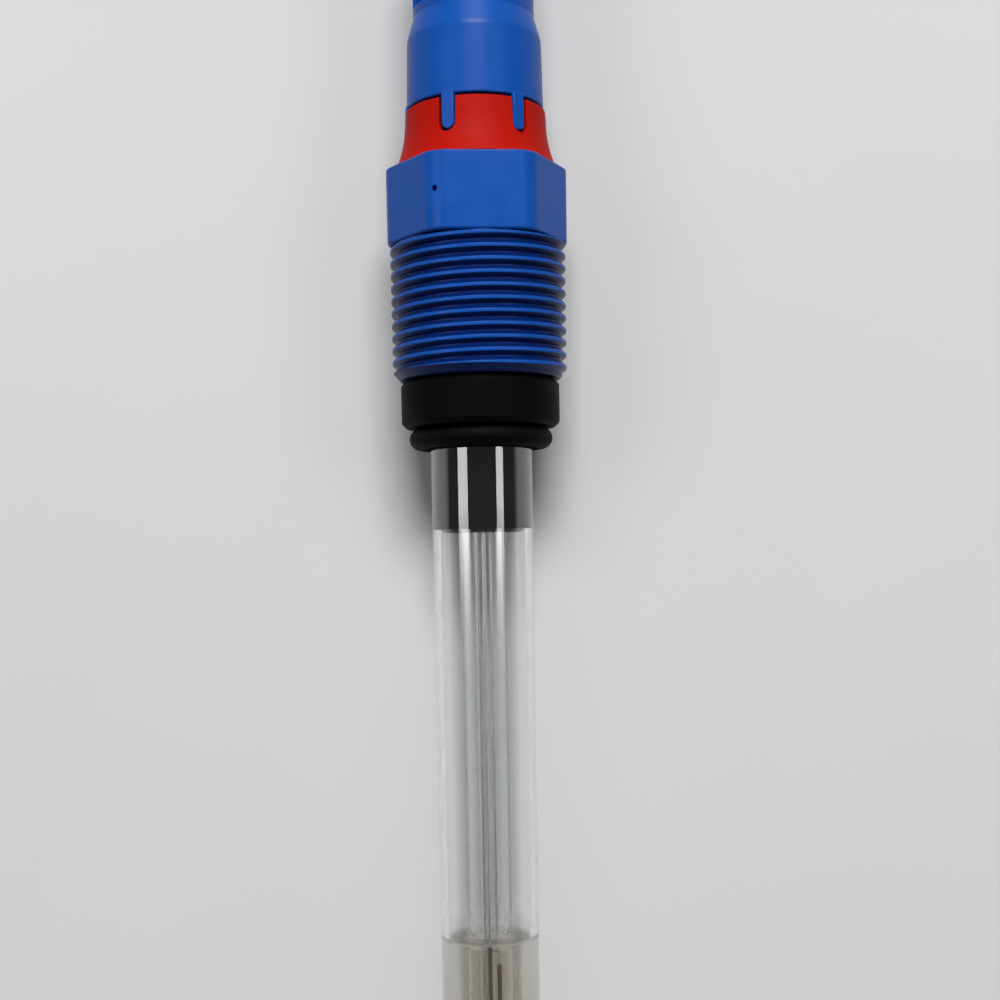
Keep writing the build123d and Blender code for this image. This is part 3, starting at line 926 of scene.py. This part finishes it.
@dataclass
class Assembly:
    """Pieces that belong together.

    Args:
        wardrobe: the finishes.
    """

    wardrobe: Wardrobe

    def seat(
        self,
        piece: bpy.types.Object,
        slot: Slot,
        *nodes: str,
        body: Body = Body.ELECTRODE,
        offset: Spot = (0.0, 0.0),
        inside: bool = False,
    ) -> None:
        """Dresses a finished piece and puts it in its place on its body.

        Args:
            piece: a piece made on the bench.
            slot: the slot that it takes its finish from.
            nodes: the nodes that it stands for.
            body: the body that it rides on.
            offset: its distance from the long axis, upwards and to the right, in millimetres.
            inside: whether it is glass inside the shaft.
        """
        self.wardrobe.dress(piece, slot, inside)
        piece.matrix_world = AXIS.place @ Matrix.Translation((*(part * MM for part in offset), 0.0))
        apply_place(piece)
        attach(piece, body.value)
        if nodes:
            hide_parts(*nodes)
        log.info("%s rides on %s and stands for %s", piece.name, body.value, ", ".join(nodes) or "no node")


@dataclass
class PlugHead(Assembly):
    """The plug-in head: grip, keys, bayonet nose and coupling pocket."""

    bore: float = 5.9
    skirt: float = 6.9
    skirt_foot: float = 29.7
    foot: float = 36.05
    foot_radius: float = 7.88
    grip_top: float = 43.65
    grip_radius: float = 7.70
    nose_foot: float = 46.15
    nose_radius: float = 6.93
    top: float = 61.45
    nose_edge: float = 0.5
    key_face: float = 8.05
    key_root: float = 6.4
    key_width: float = 1.5
    key_foot: float = 32.25
    key_overlap: float = 0.3
    key_edge: float = 0.16
    first_key: float = 38.0
    key_count: int = 6
    groove_floor: float = 6.2
    slot_floor: float = 6.05
    groove_foot: float = 47.15
    groove_width: float = 2.4
    groove_turn: float = -72.0
    groove_sweep: float = 34.0
    pocket: float = 3.9
    pocket_wall: float = 4.55
    pocket_base: float = 51.45
    cup_floor: float = 50.65
    flange: float = 5.88
    flange_foot: float = 60.25

    def build(self) -> None:
        """Builds the head and its pocket."""
        self.seat(self.build_head(), Slot.BLUE, "plug_head")
        self.seat(self.build_pocket(), Slot.BLUE, "pocket_cup")

    def build_head(self) -> bpy.types.Object:
        """Turns the head, cuts its grooves and sets its keys.

        Returns:
            The head with its keys, shaded smooth.
        """
        corners = [
            Corner(self.bore, self.top),
            Corner(self.bore, self.skirt_foot),
            Corner(self.skirt, self.skirt_foot, 0.15),
            Corner(self.skirt, self.foot),
            Corner(self.foot_radius, self.foot, 0.22),
            Corner(self.grip_radius, self.grip_top, 2.4),
            Corner(self.nose_radius, self.nose_foot, 0.6),
            Corner(self.nose_radius, self.top, self.nose_edge),
        ]
        head = turned("head", rounded(corners, 6))
        reach = self.nose_radius + OVER
        low, high = self.groove_foot, self.groove_foot + self.groove_width
        outline = [(self.groove_floor, low), (reach, low), (reach, high), (self.groove_floor, high)]
        for turn in (self.groove_turn, self.groove_turn + 180.0):
            slot = bar("slot_tool", self.slot_floor, reach, self.groove_width, low, self.top + OVER)
            turn_piece(slot, math.radians(turn))
            act(head, slot, Join.CUT)
            act(head, sector("bayonet_tool", outline, turn, self.groove_sweep), Join.CUT)
        head = merge([head, *(self.build_key(place) for place in range(self.key_count))])
        smooth(head)
        return head

    def build_key(self, place: int) -> bpy.types.Object:
        """Makes one key.

        Args:
            place: its number, counted from the first one.

        Returns:
            The key, with a round foot and soft outer edges.
        """
        top = self.foot + self.key_overlap
        key = bar("key", self.key_root, self.key_face, self.key_width, self.key_foot, top)
        round_foot(key, self.key_width, self.key_foot)
        bevel(key, lambda a, b: min(a.x, b.x) > self.key_face - NEAR, self.key_edge, 3)
        turn_piece(key, math.radians(self.first_key + 360.0 * place / self.key_count))
        return key

    def build_pocket(self) -> bpy.types.Object:
        """Turns the cup whose flange closes the nose.

        Returns:
            The cup, closed on the axis.
        """
        corners = [
            Corner(0.0, self.cup_floor),
            Corner(self.pocket_wall, self.cup_floor),
            Corner(self.pocket_wall, self.flange_foot),
            Corner(self.flange, self.flange_foot),
            Corner(self.flange, self.top, 0.06),
            Corner(self.pocket, self.top, 0.3),
            Corner(self.pocket, self.pocket_base, 0.4),
            Corner(0.0, self.pocket_base),
        ]
        cup = turned("pocket", rounded(corners), closed=False)
        smooth(cup)
        return cup


@dataclass
class CrownRing(Assembly):
    """The red ring whose slots take the head's keys."""

    bore: float = 7.0
    top: float = 35.75
    top_radius: float = 8.1
    neck: float = 34.1
    neck_radius: float = 8.175
    foot: float = 29.5
    foot_radius: float = 9.25
    slot_width: float = 2.0
    slot_floor: float = 31.9
    first_slot: float = 38.0
    slot_count: int = 6
    slot_edge: float = 0.14
    foot_edge: float = 0.03
    foot_edge_height: float = 0.12

    def build(self) -> None:
        """Turns the ring, cuts its slots and softens their edges."""
        heading = (self.neck_radius - self.top_radius, self.neck - self.top)
        rim = (self.foot_radius - self.foot_edge, self.foot + self.foot_edge_height)
        flare = arc((self.neck_radius, self.neck), heading, rim, 12)
        crown = [Corner(self.bore, self.top, 0.12), Corner(self.top_radius, self.top, 0.2), Corner(*flare[0])]
        points = rounded([*crown, Corner(self.bore, self.foot)])[:-2]
        points += [*flare, (self.foot_radius - 2 * self.foot_edge, self.foot), (self.bore, self.foot)]
        ring = turned("crown", points)
        for place in range(self.slot_count):
            ends = (self.slot_floor, self.top + OVER)
            slot = bar("slot", self.bore - OVER, self.foot_radius + OVER, self.slot_width, *ends)
            round_foot(slot, self.slot_width, self.slot_floor)
            turn_piece(slot, math.radians(self.first_slot + 360.0 * place / self.slot_count))
            act(ring, slot, Join.CUT)
        soften(ring, self.slot_edge)
        smooth(ring)
        self.seat(ring, Slot.RED, "crown_ring")


@dataclass
class ScrewBody(Assembly):
    """The screw-in body: thread, hexagon and the spigot under the head."""

    foot: float = 5.5
    bore: float = 6.25
    bore_top: float = 17.25
    wire_bore: float = 4.2
    crest: float = 10.2
    core: float = 9.639
    pitch: float = 1.411
    crest_width: float = 0.32
    flank: float = 40.0
    first_crest: float = 6.4
    ridge_start: float = 3.598
    ridge_top: float = 20.75
    ridge_turns: int = 13
    ridge_base: float = 0.36
    ridge_sink: float = 0.02
    chamfer: float = 0.9
    thread_top: float = 20.1
    undercut: float = 0.3
    hex_foot: float = 20.9
    hex_top: float = 29.5
    hex_width: float = 19.0
    hex_corner: float = 3.0
    hex_turn: float = 4.3
    hex_edge: float = 0.4
    hex_rim: float = 0.22
    spigot: float = 5.85
    spigot_top: float = 35.5
    pit_station: float = 25.4
    pit_radius: float = 0.33
    pit_depth: float = 0.7

    def build(self) -> None:
        """Builds the core, the ridge and the hexagon as one piece."""
        body = merge([self.build_core(), self.build_ridge(), self.build_hexagon()])
        body.name = "screw_body"
        self.seat(body, Slot.BLUE, "threaded_body")

    def build_core(self) -> bpy.types.Object:
        """Turns the thread's core with its two undercuts, and the spigot.

        Returns:
            Both as one turned piece.
        """
        neck = self.core - self.undercut
        corners = [
            Corner(self.bore, self.foot, 0.1),
            Corner(neck, self.foot, 0.1),
            Corner(self.core, self.foot + self.undercut),
            Corner(self.core, self.thread_top),
            Corner(neck, self.thread_top + self.undercut),
            Corner(neck, self.hex_foot + self.hex_edge),
            Corner(self.spigot, self.hex_foot + self.hex_edge),
            Corner(self.spigot, self.spigot_top, 0.2),
            Corner(self.wire_bore, self.spigot_top, 0.2),
            Corner(self.wire_bore, self.bore_top),
            Corner(self.bore, self.bore_top),
        ]
        core = turned("core", rounded(corners))
        smooth(core)
        return core

    def build_ridge(self) -> bpy.types.Object:
        """Winds the thread's ridge and trims it to the chamfer and the undercut.

        Returns:
            The ridge, with a rounded crest.
        """
        half = self.crest_width / 2
        slope = math.tan(math.radians(self.flank))
        base = self.core - self.ridge_base
        root = self.core - self.ridge_sink
        knee = half + (self.crest - self.core) * slope
        spread = self.ridge_sink * slope
        start = self.ridge_start
        corners = [
            Corner(base, start - knee - spread),
            Corner(root, start - knee - spread),
            Corner(self.crest, start - half, 0.09),
            Corner(self.crest, start + half, 0.09),
            Corner(root, start + knee + spread),
            Corner(base, start + knee + spread),
        ]
        ridge = draw("ridge", rounded(corners, 3))
        leave_edit()
        rise = {"screw_offset": self.pitch * MM, "iterations": self.ridge_turns}
        modify(ridge, "SCREW", axis="Z", angle=math.tau, steps=128, render_steps=128, **rise)
        edit(ridge)
        bpy.ops.mesh.fill_holes(sides=0)
        bpy.ops.mesh.select_all(action="SELECT")
        bpy.ops.mesh.normals_make_consistent(inside=False)
        leave_edit()
        lift, clearance = 0.001, 0.2
        above_foot = self.foot + lift
        over = self.crest + clearance
        outline = [
            (base - OVER, above_foot),
            (self.crest - self.chamfer, above_foot),
            (over, self.first_crest + clearance),
            (over, self.ridge_top),
            (base - OVER, self.ridge_top),
        ]
        act(ridge, turned("envelope", outline), Join.KEEP)
        smooth(ridge, 30.0)
        return ridge

    def build_hexagon(self) -> bpy.types.Object:
        """Builds the hexagon with its soft corners, bore and gate mark.

        Returns:
            The hexagon, with rounded rims.
        """
        corner = self.hex_width / 2 / math.cos(math.pi / 6)
        hexagon = rod(corner, self.hex_foot, self.hex_top, 6)
        first = hexagon.data.vertices[0].co
        turn_piece(hexagon, math.radians(30.0 + self.hex_turn) - math.atan2(first.y, first.x))
        bevel(hexagon, lambda a, b: abs(a.z - b.z) > OVER, self.hex_corner * math.tan(math.pi / 6), 10)
        bevel(hexagon, lambda a, b: max(a.z, b.z) < self.hex_foot + NEAR, self.hex_edge, 4)
        bevel(hexagon, lambda a, b: min(a.z, b.z) > self.hex_top - NEAR, self.hex_rim, 3)
        over = (self.hex_top - self.hex_foot) / 2
        bore = rod((self.wire_bore + self.spigot) / 2, self.hex_foot - over, self.hex_top + over, 64)
        act(hexagon, bore, Join.CUT)
        reach = corner - self.hex_corner * (1 / math.cos(math.pi / 6) - 1)
        length = 2 * self.pit_depth
        pit = peg("gate_tool", self.pit_radius, length, reach, self.pit_station, self.hex_turn - 30.0)
        act(hexagon, pit, Join.CUT)
        smooth(hexagon)
        return hexagon


@dataclass
class SealingSet(Assembly):
    """The loose thrust collar and the sealing ring under it."""

    bore: float = 6.3
    radius: float = 9.3
    height: float = 5.4
    chamfer: float = 0.55
    cord: float = 2.4
    ring_middle: float = 7.23
    ring_station: float = -1.3

    def build(self) -> None:
        """Turns the collar and adds the ring."""
        slope = self.radius - self.chamfer
        corners = [
            Corner(self.bore, 0.0, 0.15),
            Corner(slope, 0.0, 0.2),
            Corner(self.radius, self.chamfer, 0.2),
            Corner(self.radius, self.height - self.chamfer, 0.2),
            Corner(slope, self.height, 0.2),
            Corner(self.bore, self.height, 0.15),
        ]
        collar = turned("collar_ring", rounded(corners))
        smooth(collar)
        self.seat(collar, Slot.BLACK, "thrust_collar", body=Body.COLLAR)
        cord = self.cord / 2
        turns = [math.tau * step / 32 for step in range(32)]
        points = [
            (self.ring_middle + cord * math.cos(turn), self.ring_station + cord * math.sin(turn))
            for turn in turns
        ]
        ring = turned("sealing_cord", points)
        smooth(ring)
        self.seat(ring, Slot.RUBBER, "o_ring", body=Body.RING)


@dataclass
class GlassShaft(Assembly):
    """The shaft's tube, the stem inside it, the membrane and the sensor's capillary."""

    radius: float = 6.0
    bore: float = 5.0
    top: float = 17.0
    shoulder: float = -112.4
    flare: float = -111.4
    neck: float = -114.8
    rim: float = 1.0
    seam: float = 4.62
    junction: float = -106.0
    junction_radius: float = 0.52
    stem: float = 2.7
    stem_bore: float = 1.8
    stem_top: float = 8.0
    stem_shoulder: float = -107.8
    stem_foot: float = 4.6
    stem_foot_bore: float = 4.15
    bulb_centre: float = -115.4
    bulb_top: float = -114.82
    capillary: float = 0.75
    capillary_bore: float = 0.55
    capillary_foot: float = -118.15
    capillary_top: float = 10.0
    capillary_place: Spot = (-0.3107, -0.3703)
    stopper_top: float = 13.0
    stopper_foot: float = -12.2
    sink: float = 0.04

    def build(self) -> None:
        """Builds the glass, then the stopper that seals it."""
        self.build_tube()
        self.build_stem()
        self.build_bulb()
        self.build_capillary()
        self.build_stopper()

    def build_tube(self) -> None:
        """Turns the shaft's tube down to its rim and bores it for the junctions."""
        lip = [(self.seam, self.neck), (self.seam, self.neck + self.rim), (self.bore, self.flare)]
        marks = [self.junction + side for side in (-1.0, 1.0)]
        inside = [(self.bore, mark) for mark in marks]
        wall, middle = self.radius - self.bore, (self.radius + self.bore) / 2
        rims = [Corner(radius, self.top, 0.3) for radius in (self.bore, self.radius)]
        mouth = rounded([*rims, Corner(middle, 0.0)])[:-1]
        outside = [(self.radius, mark) for mark in reversed(marks)]
        rim = arc((self.radius, self.shoulder), (0.0, -1.0), (self.seam, self.neck))
        tube = turned("shaft_tube", [*lip, *inside, *mouth, *outside, *rim[:-1]])
        for turn in (0.0, 120.0, 240.0):
            tool = peg("junction_tool", self.junction_radius, 3 * wall, middle, self.junction, turn)
            act(tube, tool, Join.CUT)
        smooth(tube, 30.0)
        self.seat(tube, Slot.GLASS, "outer_tube")

    def build_stem(self) -> None:
        """Turns the stem with its wide foot."""
        outside = ease((self.stem, self.stem_shoulder), (self.stem_foot, self.neck + self.rim))
        inside = ease((self.stem_foot_bore, self.neck + self.rim), (self.stem_bore, self.stem_shoulder))
        foot = [(self.stem_foot, self.neck), (self.stem_foot_bore, self.neck)]
        points = [(self.stem, self.stem_top), *outside, *foot, *inside, (self.stem_bore, self.stem_top)]
        stem = turned("stem_tube", points, steps=96)
        smooth(stem, 30.0)
        self.seat(stem, Slot.GLASS, "inner_tube", inside=True)

    def build_bulb(self) -> None:
        """Turns the membrane's thin bulb."""
        radii = (self.stem_foot_bore, self.stem_foot)
        inside, outside = (dome(radius, self.bulb_centre, 20) for radius in radii)
        top = [(radius, self.bulb_top) for radius in radii]
        bulb = turned("membrane_bulb", [*reversed(inside), *top, *outside], closed=False)
        smooth(bulb, 40.0)
        self.seat(bulb, Slot.MEMBRANE, "ph_membrane")

    def build_capillary(self) -> None:
        """Turns the sensor's own closed tube, beside the long axis."""
        floor = self.capillary_foot + self.capillary - self.capillary_bore
        corners = [
            Corner(0.0, self.capillary_foot),
            Corner(self.capillary, self.capillary_foot, 0.6),
            Corner(self.capillary, self.capillary_top, 0.08),
            Corner(self.capillary_bore, self.capillary_top, 0.08),
            Corner(self.capillary_bore, floor, 0.3),
            Corner(0.0, floor),
        ]
        tube = turned("capillary", rounded(corners), closed=False, steps=48)
        smooth(tube, 30.0)
        place = self.capillary_place
        self.seat(tube, Slot.GLASS, "temperature_tube", offset=place, inside=True)

    def build_stopper(self) -> None:
        """Turns the stopper between shaft and stem."""
        corners = [
            Corner(self.stem - self.sink, self.stopper_foot, 0.2),
            Corner(self.bore + self.sink, self.stopper_foot, 0.5),
            Corner(self.bore + self.sink, self.stopper_top, 0.3),
            Corner(self.stem - self.sink, self.stopper_top, 0.2),
        ]
        stopper = turned("shaft_stopper", rounded(corners))
        smooth(stopper)
        self.seat(stopper, Slot.STOPPER, "stopper")


@dataclass
class Filling(Assembly):
    """The gel round the stem and the buffer inside it, each reaching a little into the glass.

    Args:
        shaft: the glass that they fill.
    """

    shaft: GlassShaft
    gel_level: float = -61.1
    meniscus: float = 0.3
    buffer_level: float = -62.5
    buffer_meniscus: float = 0.25
    buffer_flat: float = 0.8
    bore_foot: float = -118.12
    bore_top: float = -59.22
    coating: float = 0.2
    gel_wire: Spot = (3.85, 0.0)
    gel_wire_foot: float = -101.6
    buffer_wire: Spot = (0.6642, 0.7916)
    buffer_wire_foot: float = -108.6
    buffer_wire_top: float = -64.1

    def build(self) -> None:
        """Builds both fillings and the coated wires that hang in them."""
        self.build_gel()
        self.build_buffer()
        gel_ends = (self.gel_wire_foot, self.gel_level)
        buffer_ends = (self.buffer_wire_foot, self.buffer_wire_top)
        self.build_coating("gel_electrode", *gel_ends, self.gel_wire, "reference_element")
        self.build_coating("buffer_electrode", *buffer_ends, self.buffer_wire, "ph_element")

    def build_gel(self) -> None:
        """Turns the gel with its curved surface."""
        outer = self.shaft.bore + self.shaft.sink
        inner = self.shaft.stem - self.shaft.sink
        foot = self.shaft.stem_shoulder
        middle, half = (outer + inner) / 2, (outer - inner) / 2
        steps = 14
        across = [1 - 2 * step / steps for step in range(steps + 1)]
        surface = [(middle + part * half, self.gel_level + self.meniscus * part**4) for part in across]
        gel = turned("gel_filling", [(inner, foot), (outer, foot), *surface])
        smooth(gel, 50.0)
        self.seat(gel, Slot.GEL, "reference_gel")

    def build_buffer(self) -> None:
        """Turns the buffer down to the bulb and bores it for the capillary."""
        shaft = self.shaft
        radius = shaft.stem_bore + shaft.sink
        wide = shaft.stem_foot_bore + shaft.sink
        level = self.buffer_level
        top = [(0.0, level), (radius * self.buffer_flat, level), (radius, level + self.buffer_meniscus)]
        flare = ease((radius, shaft.stem_shoulder), (wide, shaft.neck + shaft.rim))
        points = [*top, *flare, *dome(wide, shaft.bulb_centre, 16)]
        buffer = turned("buffer_filling", points, closed=False, steps=96)
        tool = rod(shaft.capillary - shaft.sink / 2, self.bore_foot, self.bore_top, 48, shaft.capillary_place)
        act(buffer, tool, Join.CUT)
        smooth(buffer, 40.0)
        self.seat(buffer, Slot.BUFFER, "inner_buffer")

    def build_coating(self, name: str, foot: float, top: float, place: Spot, node: str) -> None:
        """Turns the rounded, coated end of a silver wire.

        Args:
            name: the piece's name.
            foot: station of its lower end.
            top: station of its upper end.
            place: its distance from the long axis, upwards and to the right.
            node: the node that it stands for.
        """
        sides = [Corner(self.coating, foot, 0.1), Corner(self.coating, top, 0.05)]
        points = rounded([Corner(0.0, foot), *sides, Corner(0.0, top)])
        coating = turned(name, points, closed=False, steps=32)
        smooth(coating)
        self.seat(coating, Slot.CHLORIDE, node, offset=place)


@dataclass(frozen=True)
class Camera:
    """A camera that looks down on the electrode.

    Args:
        focal: focal length in pixels of a photograph that is 1000 pixels wide.
        height: distance from the axis, in millimetres.
        station: station above which it stands.
        lean: angle of its view from square to the axis, towards the tip.
        roll: turn about its own view.
        side: distance to the right of the axis, in millimetres.
        shift: upward shift of the frame, as a share of its width.
    """

    focal: float = 1483.6
    height: float = 177.3
    station: float = -14.51
    lean: float = 5.59
    roll: float = 1.0
    side: float = 1.70
    shift: float = 0.1965

    def build(self) -> None:
        """Adds the camera and makes it the scene's own."""
        data = bpy.data.cameras.new("camera")
        data.sensor_width = SENSOR_WIDTH
        data.lens = self.focal * SENSOR_WIDTH / PHOTO_WIDTH
        data.shift_y = self.shift
        data.clip_start = 0.01
        data.clip_end = 10.0
        lean = math.radians(self.lean)
        look = -AXIS.upward * math.cos(lean) - AXIS.along * math.sin(lean)
        upright = AXIS.along * math.cos(lean) - AXIS.upward * math.sin(lean)
        right = look.cross(upright)
        turn = math.radians(self.roll)
        top = upright * math.cos(turn) + right * math.sin(turn)
        across = look.cross(top)
        camera = bpy.data.objects.new("camera", data)
        bpy.context.scene.collection.objects.link(camera)
        turned_frame = Matrix((across, top, -look)).transposed().to_4x4()
        place = AXIS.point(self.station, self.height, self.side)
        camera.matrix_world = Matrix.Translation(place) @ turned_frame
        bpy.context.scene.camera = camera


@dataclass(frozen=True)
class SoftLight:
    """A soft area light above the paper, aimed at the electrode.

    Args:
        name: its name.
        tilt: angle from straight up, positive to the right.
        swing: angle towards the head.
        distance: distance from the electrode, in metres.
        width: size across, in metres.
        length: size along the electrode, in metres.
        level: brightness that it gives to a surface that faces it, where 1 is plain.
        fade: share of its length, from its lower end, over which it grows to full strength.
    """

    name: str
    tilt: float
    swing: float
    distance: float
    width: float
    length: float
    level: float
    fade: float = 0.0

    def build(self) -> None:
        """Adds the light."""
        data = bpy.data.lights.new(self.name, "AREA")
        data.shape = "RECTANGLE"
        data.size = self.width
        data.size_y = self.length
        data.energy = self.level * math.pi**2 * self.distance**2
        if self.fade > 0:
            self.soften_end(data)
        lamp = bpy.data.objects.new(self.name, data)
        bpy.context.scene.collection.objects.link(lamp)
        tilt, swing = math.radians(self.tilt), math.radians(self.swing)
        away = Vector((math.sin(tilt), math.cos(tilt) * math.sin(swing), math.cos(tilt) * math.cos(swing)))
        aside = Vector((0.0, 1.0, 0.0)).cross(away).normalized()
        lengthways = away.cross(aside)
        turn = Matrix((aside, lengthways, away)).transposed().to_4x4()
        lamp.matrix_world = Matrix.Translation(away * self.distance) @ turn

    def soften_end(self, data: bpy.types.AreaLight) -> None:
        """Dims the light towards its lower end."""
        web = Web.of(data)
        place = web.add("NewGeometry")["Parametric"]
        along = web.ramp(web.add("SeparateXYZ", {"Vector": place})["Y"], high=self.fade)
        web.fill(data.node_tree.nodes["Emission"], {"Strength": web.math("POWER", along, 3.0)})


@dataclass
class Studio:
    """The sheet of paper, the light and the camera.

    Args:
        paper: colour of the paper, linear.
        bounce: share of the paper's colour that the light it throws back has.
        sheet: width of the sheet, in metres.
        sky: strength of the light from all round.
        backdrop: brightness of what is seen behind the paper from the sides.
        walls: glass walls that a ray of light can pass.
        lights: the soft lights.
    """

    paper: Colour = (0.610, 0.610, 0.615)
    bounce: float = 0.45
    sheet: float = 1.6
    sky: float = 0.08
    backdrop: float = 0.62
    walls: int = 32
    lights: tuple[SoftLight, ...] = (
        SoftLight("ceiling light", 3.0, 38.0, 1.3, 0.60, 0.42, 1.09),
        SoftLight("left strip", -43.0, 6.0, 0.8, 0.32, 0.42, 0.24, 0.34),
        SoftLight("right strip", 41.0, 6.0, 0.8, 0.23, 0.42, 0.17, 0.34),
    )

    def build(self, floor: float) -> None:
        """Adds the paper at the height where the electrode rests, the lights and the camera.

        Args:
            floor: height of the paper, in metres.
        """
        clear_selection()
        bpy.ops.mesh.primitive_plane_add(size=self.sheet, location=(0, 0, floor))
        sheet = bpy.context.active_object
        sheet.name = "paper"
        sheet.data.materials.append(self.paper_material())
        sheet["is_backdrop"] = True
        self.build_world()
        for light in self.lights:
            light.build()
        Camera().build()
        bpy.context.scene.view_settings.view_transform = "Standard"
        cycles = bpy.context.scene.cycles
        cycles.max_bounces = self.walls
        cycles.transmission_bounces = self.walls
        cycles.transparent_max_bounces = self.walls
        log.info("studio ready")

    def build_world(self) -> None:
        """Makes a dim world with a pale backdrop, which glass and metal show near the horizon."""
        world = bpy.data.worlds.new("soft light")
        bpy.context.scene.world = world
        web = Web.of(world)
        parts = web.add("SeparateXYZ", {"Vector": web.add("TexCoord")["Generated"]})
        height = web.math("MULTIPLY_ADD", web.math("ABSOLUTE", parts["Y"]), -0.3, parts["Z"])
        low = web.ramp(height, 0.0, 0.2, 1.0, 0.0)
        path = web.add("LightPath")
        mirrored = web.math("MAXIMUM", path["Is Glossy Ray"], path["Is Transmission Ray"])
        plain = web.math("MAXIMUM", web.math("MULTIPLY", mirrored, low), path["Is Camera Ray"])
        strength = web.ramp(plain, start=self.sky, end=self.backdrop)
        web.fill(web.tree.nodes["Background"], {"Color": PALE, "Strength": strength})

    def paper_material(self) -> bpy.types.Material:
        """Builds the paper.

        Returns:
            The material: nearly white with faint waves, and far away as pale as the backdrop.
        """
        material = bpy.data.materials.new("paper")
        web = Web.of(material)
        place = web.add("TexCoord")["Object"]
        scattered = web.add("LightPath")["Is Diffuse Ray"]
        waves = web.add("TexNoise", {"Vector": place, "Scale": 14.0, "Detail": 3.0})["Fac"]
        shares = (0.96, 1.04, self.bounce)
        dark, light, thrown = ((*(part * share for part in self.paper), 1.0) for share in shares)
        colour = web.blend(scattered, web.blend(waves, dark, light), thrown)
        surface = {"Base Color": colour, "Roughness": 0.9, "Specular IOR Level": 0.1}
        web.fill(web.tree.nodes["Principled BSDF"], surface)
        far = web.ramp(web.length(place), 0.2, 0.75, interpolation="SMOOTHSTEP")
        shown = web.math("SUBTRACT", far, scattered, clamp=True)
        web.show(shown, web.add("Emission", {"Color": PALE, "Strength": self.backdrop})["Emission"])
        return material


def main() -> None:
    """Builds and dresses the electrode, then the studio round it."""
    logging.basicConfig(level=logging.INFO, format="%(name)s: %(message)s")
    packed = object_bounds()
    wardrobe = Wardrobe()
    wardrobe.dress_nodes()
    shaft = GlassShaft(wardrobe)
    for assembly in (
        PlugHead(wardrobe),
        CrownRing(wardrobe),
        ScrewBody(wardrobe),
        SealingSet(wardrobe),
        shaft,
        Filling(wardrobe, shaft),
    ):
        assembly.build()
    Studio().build(packed[0].z)
    log.info("size written")


if __name__ == "__main__":
    main()
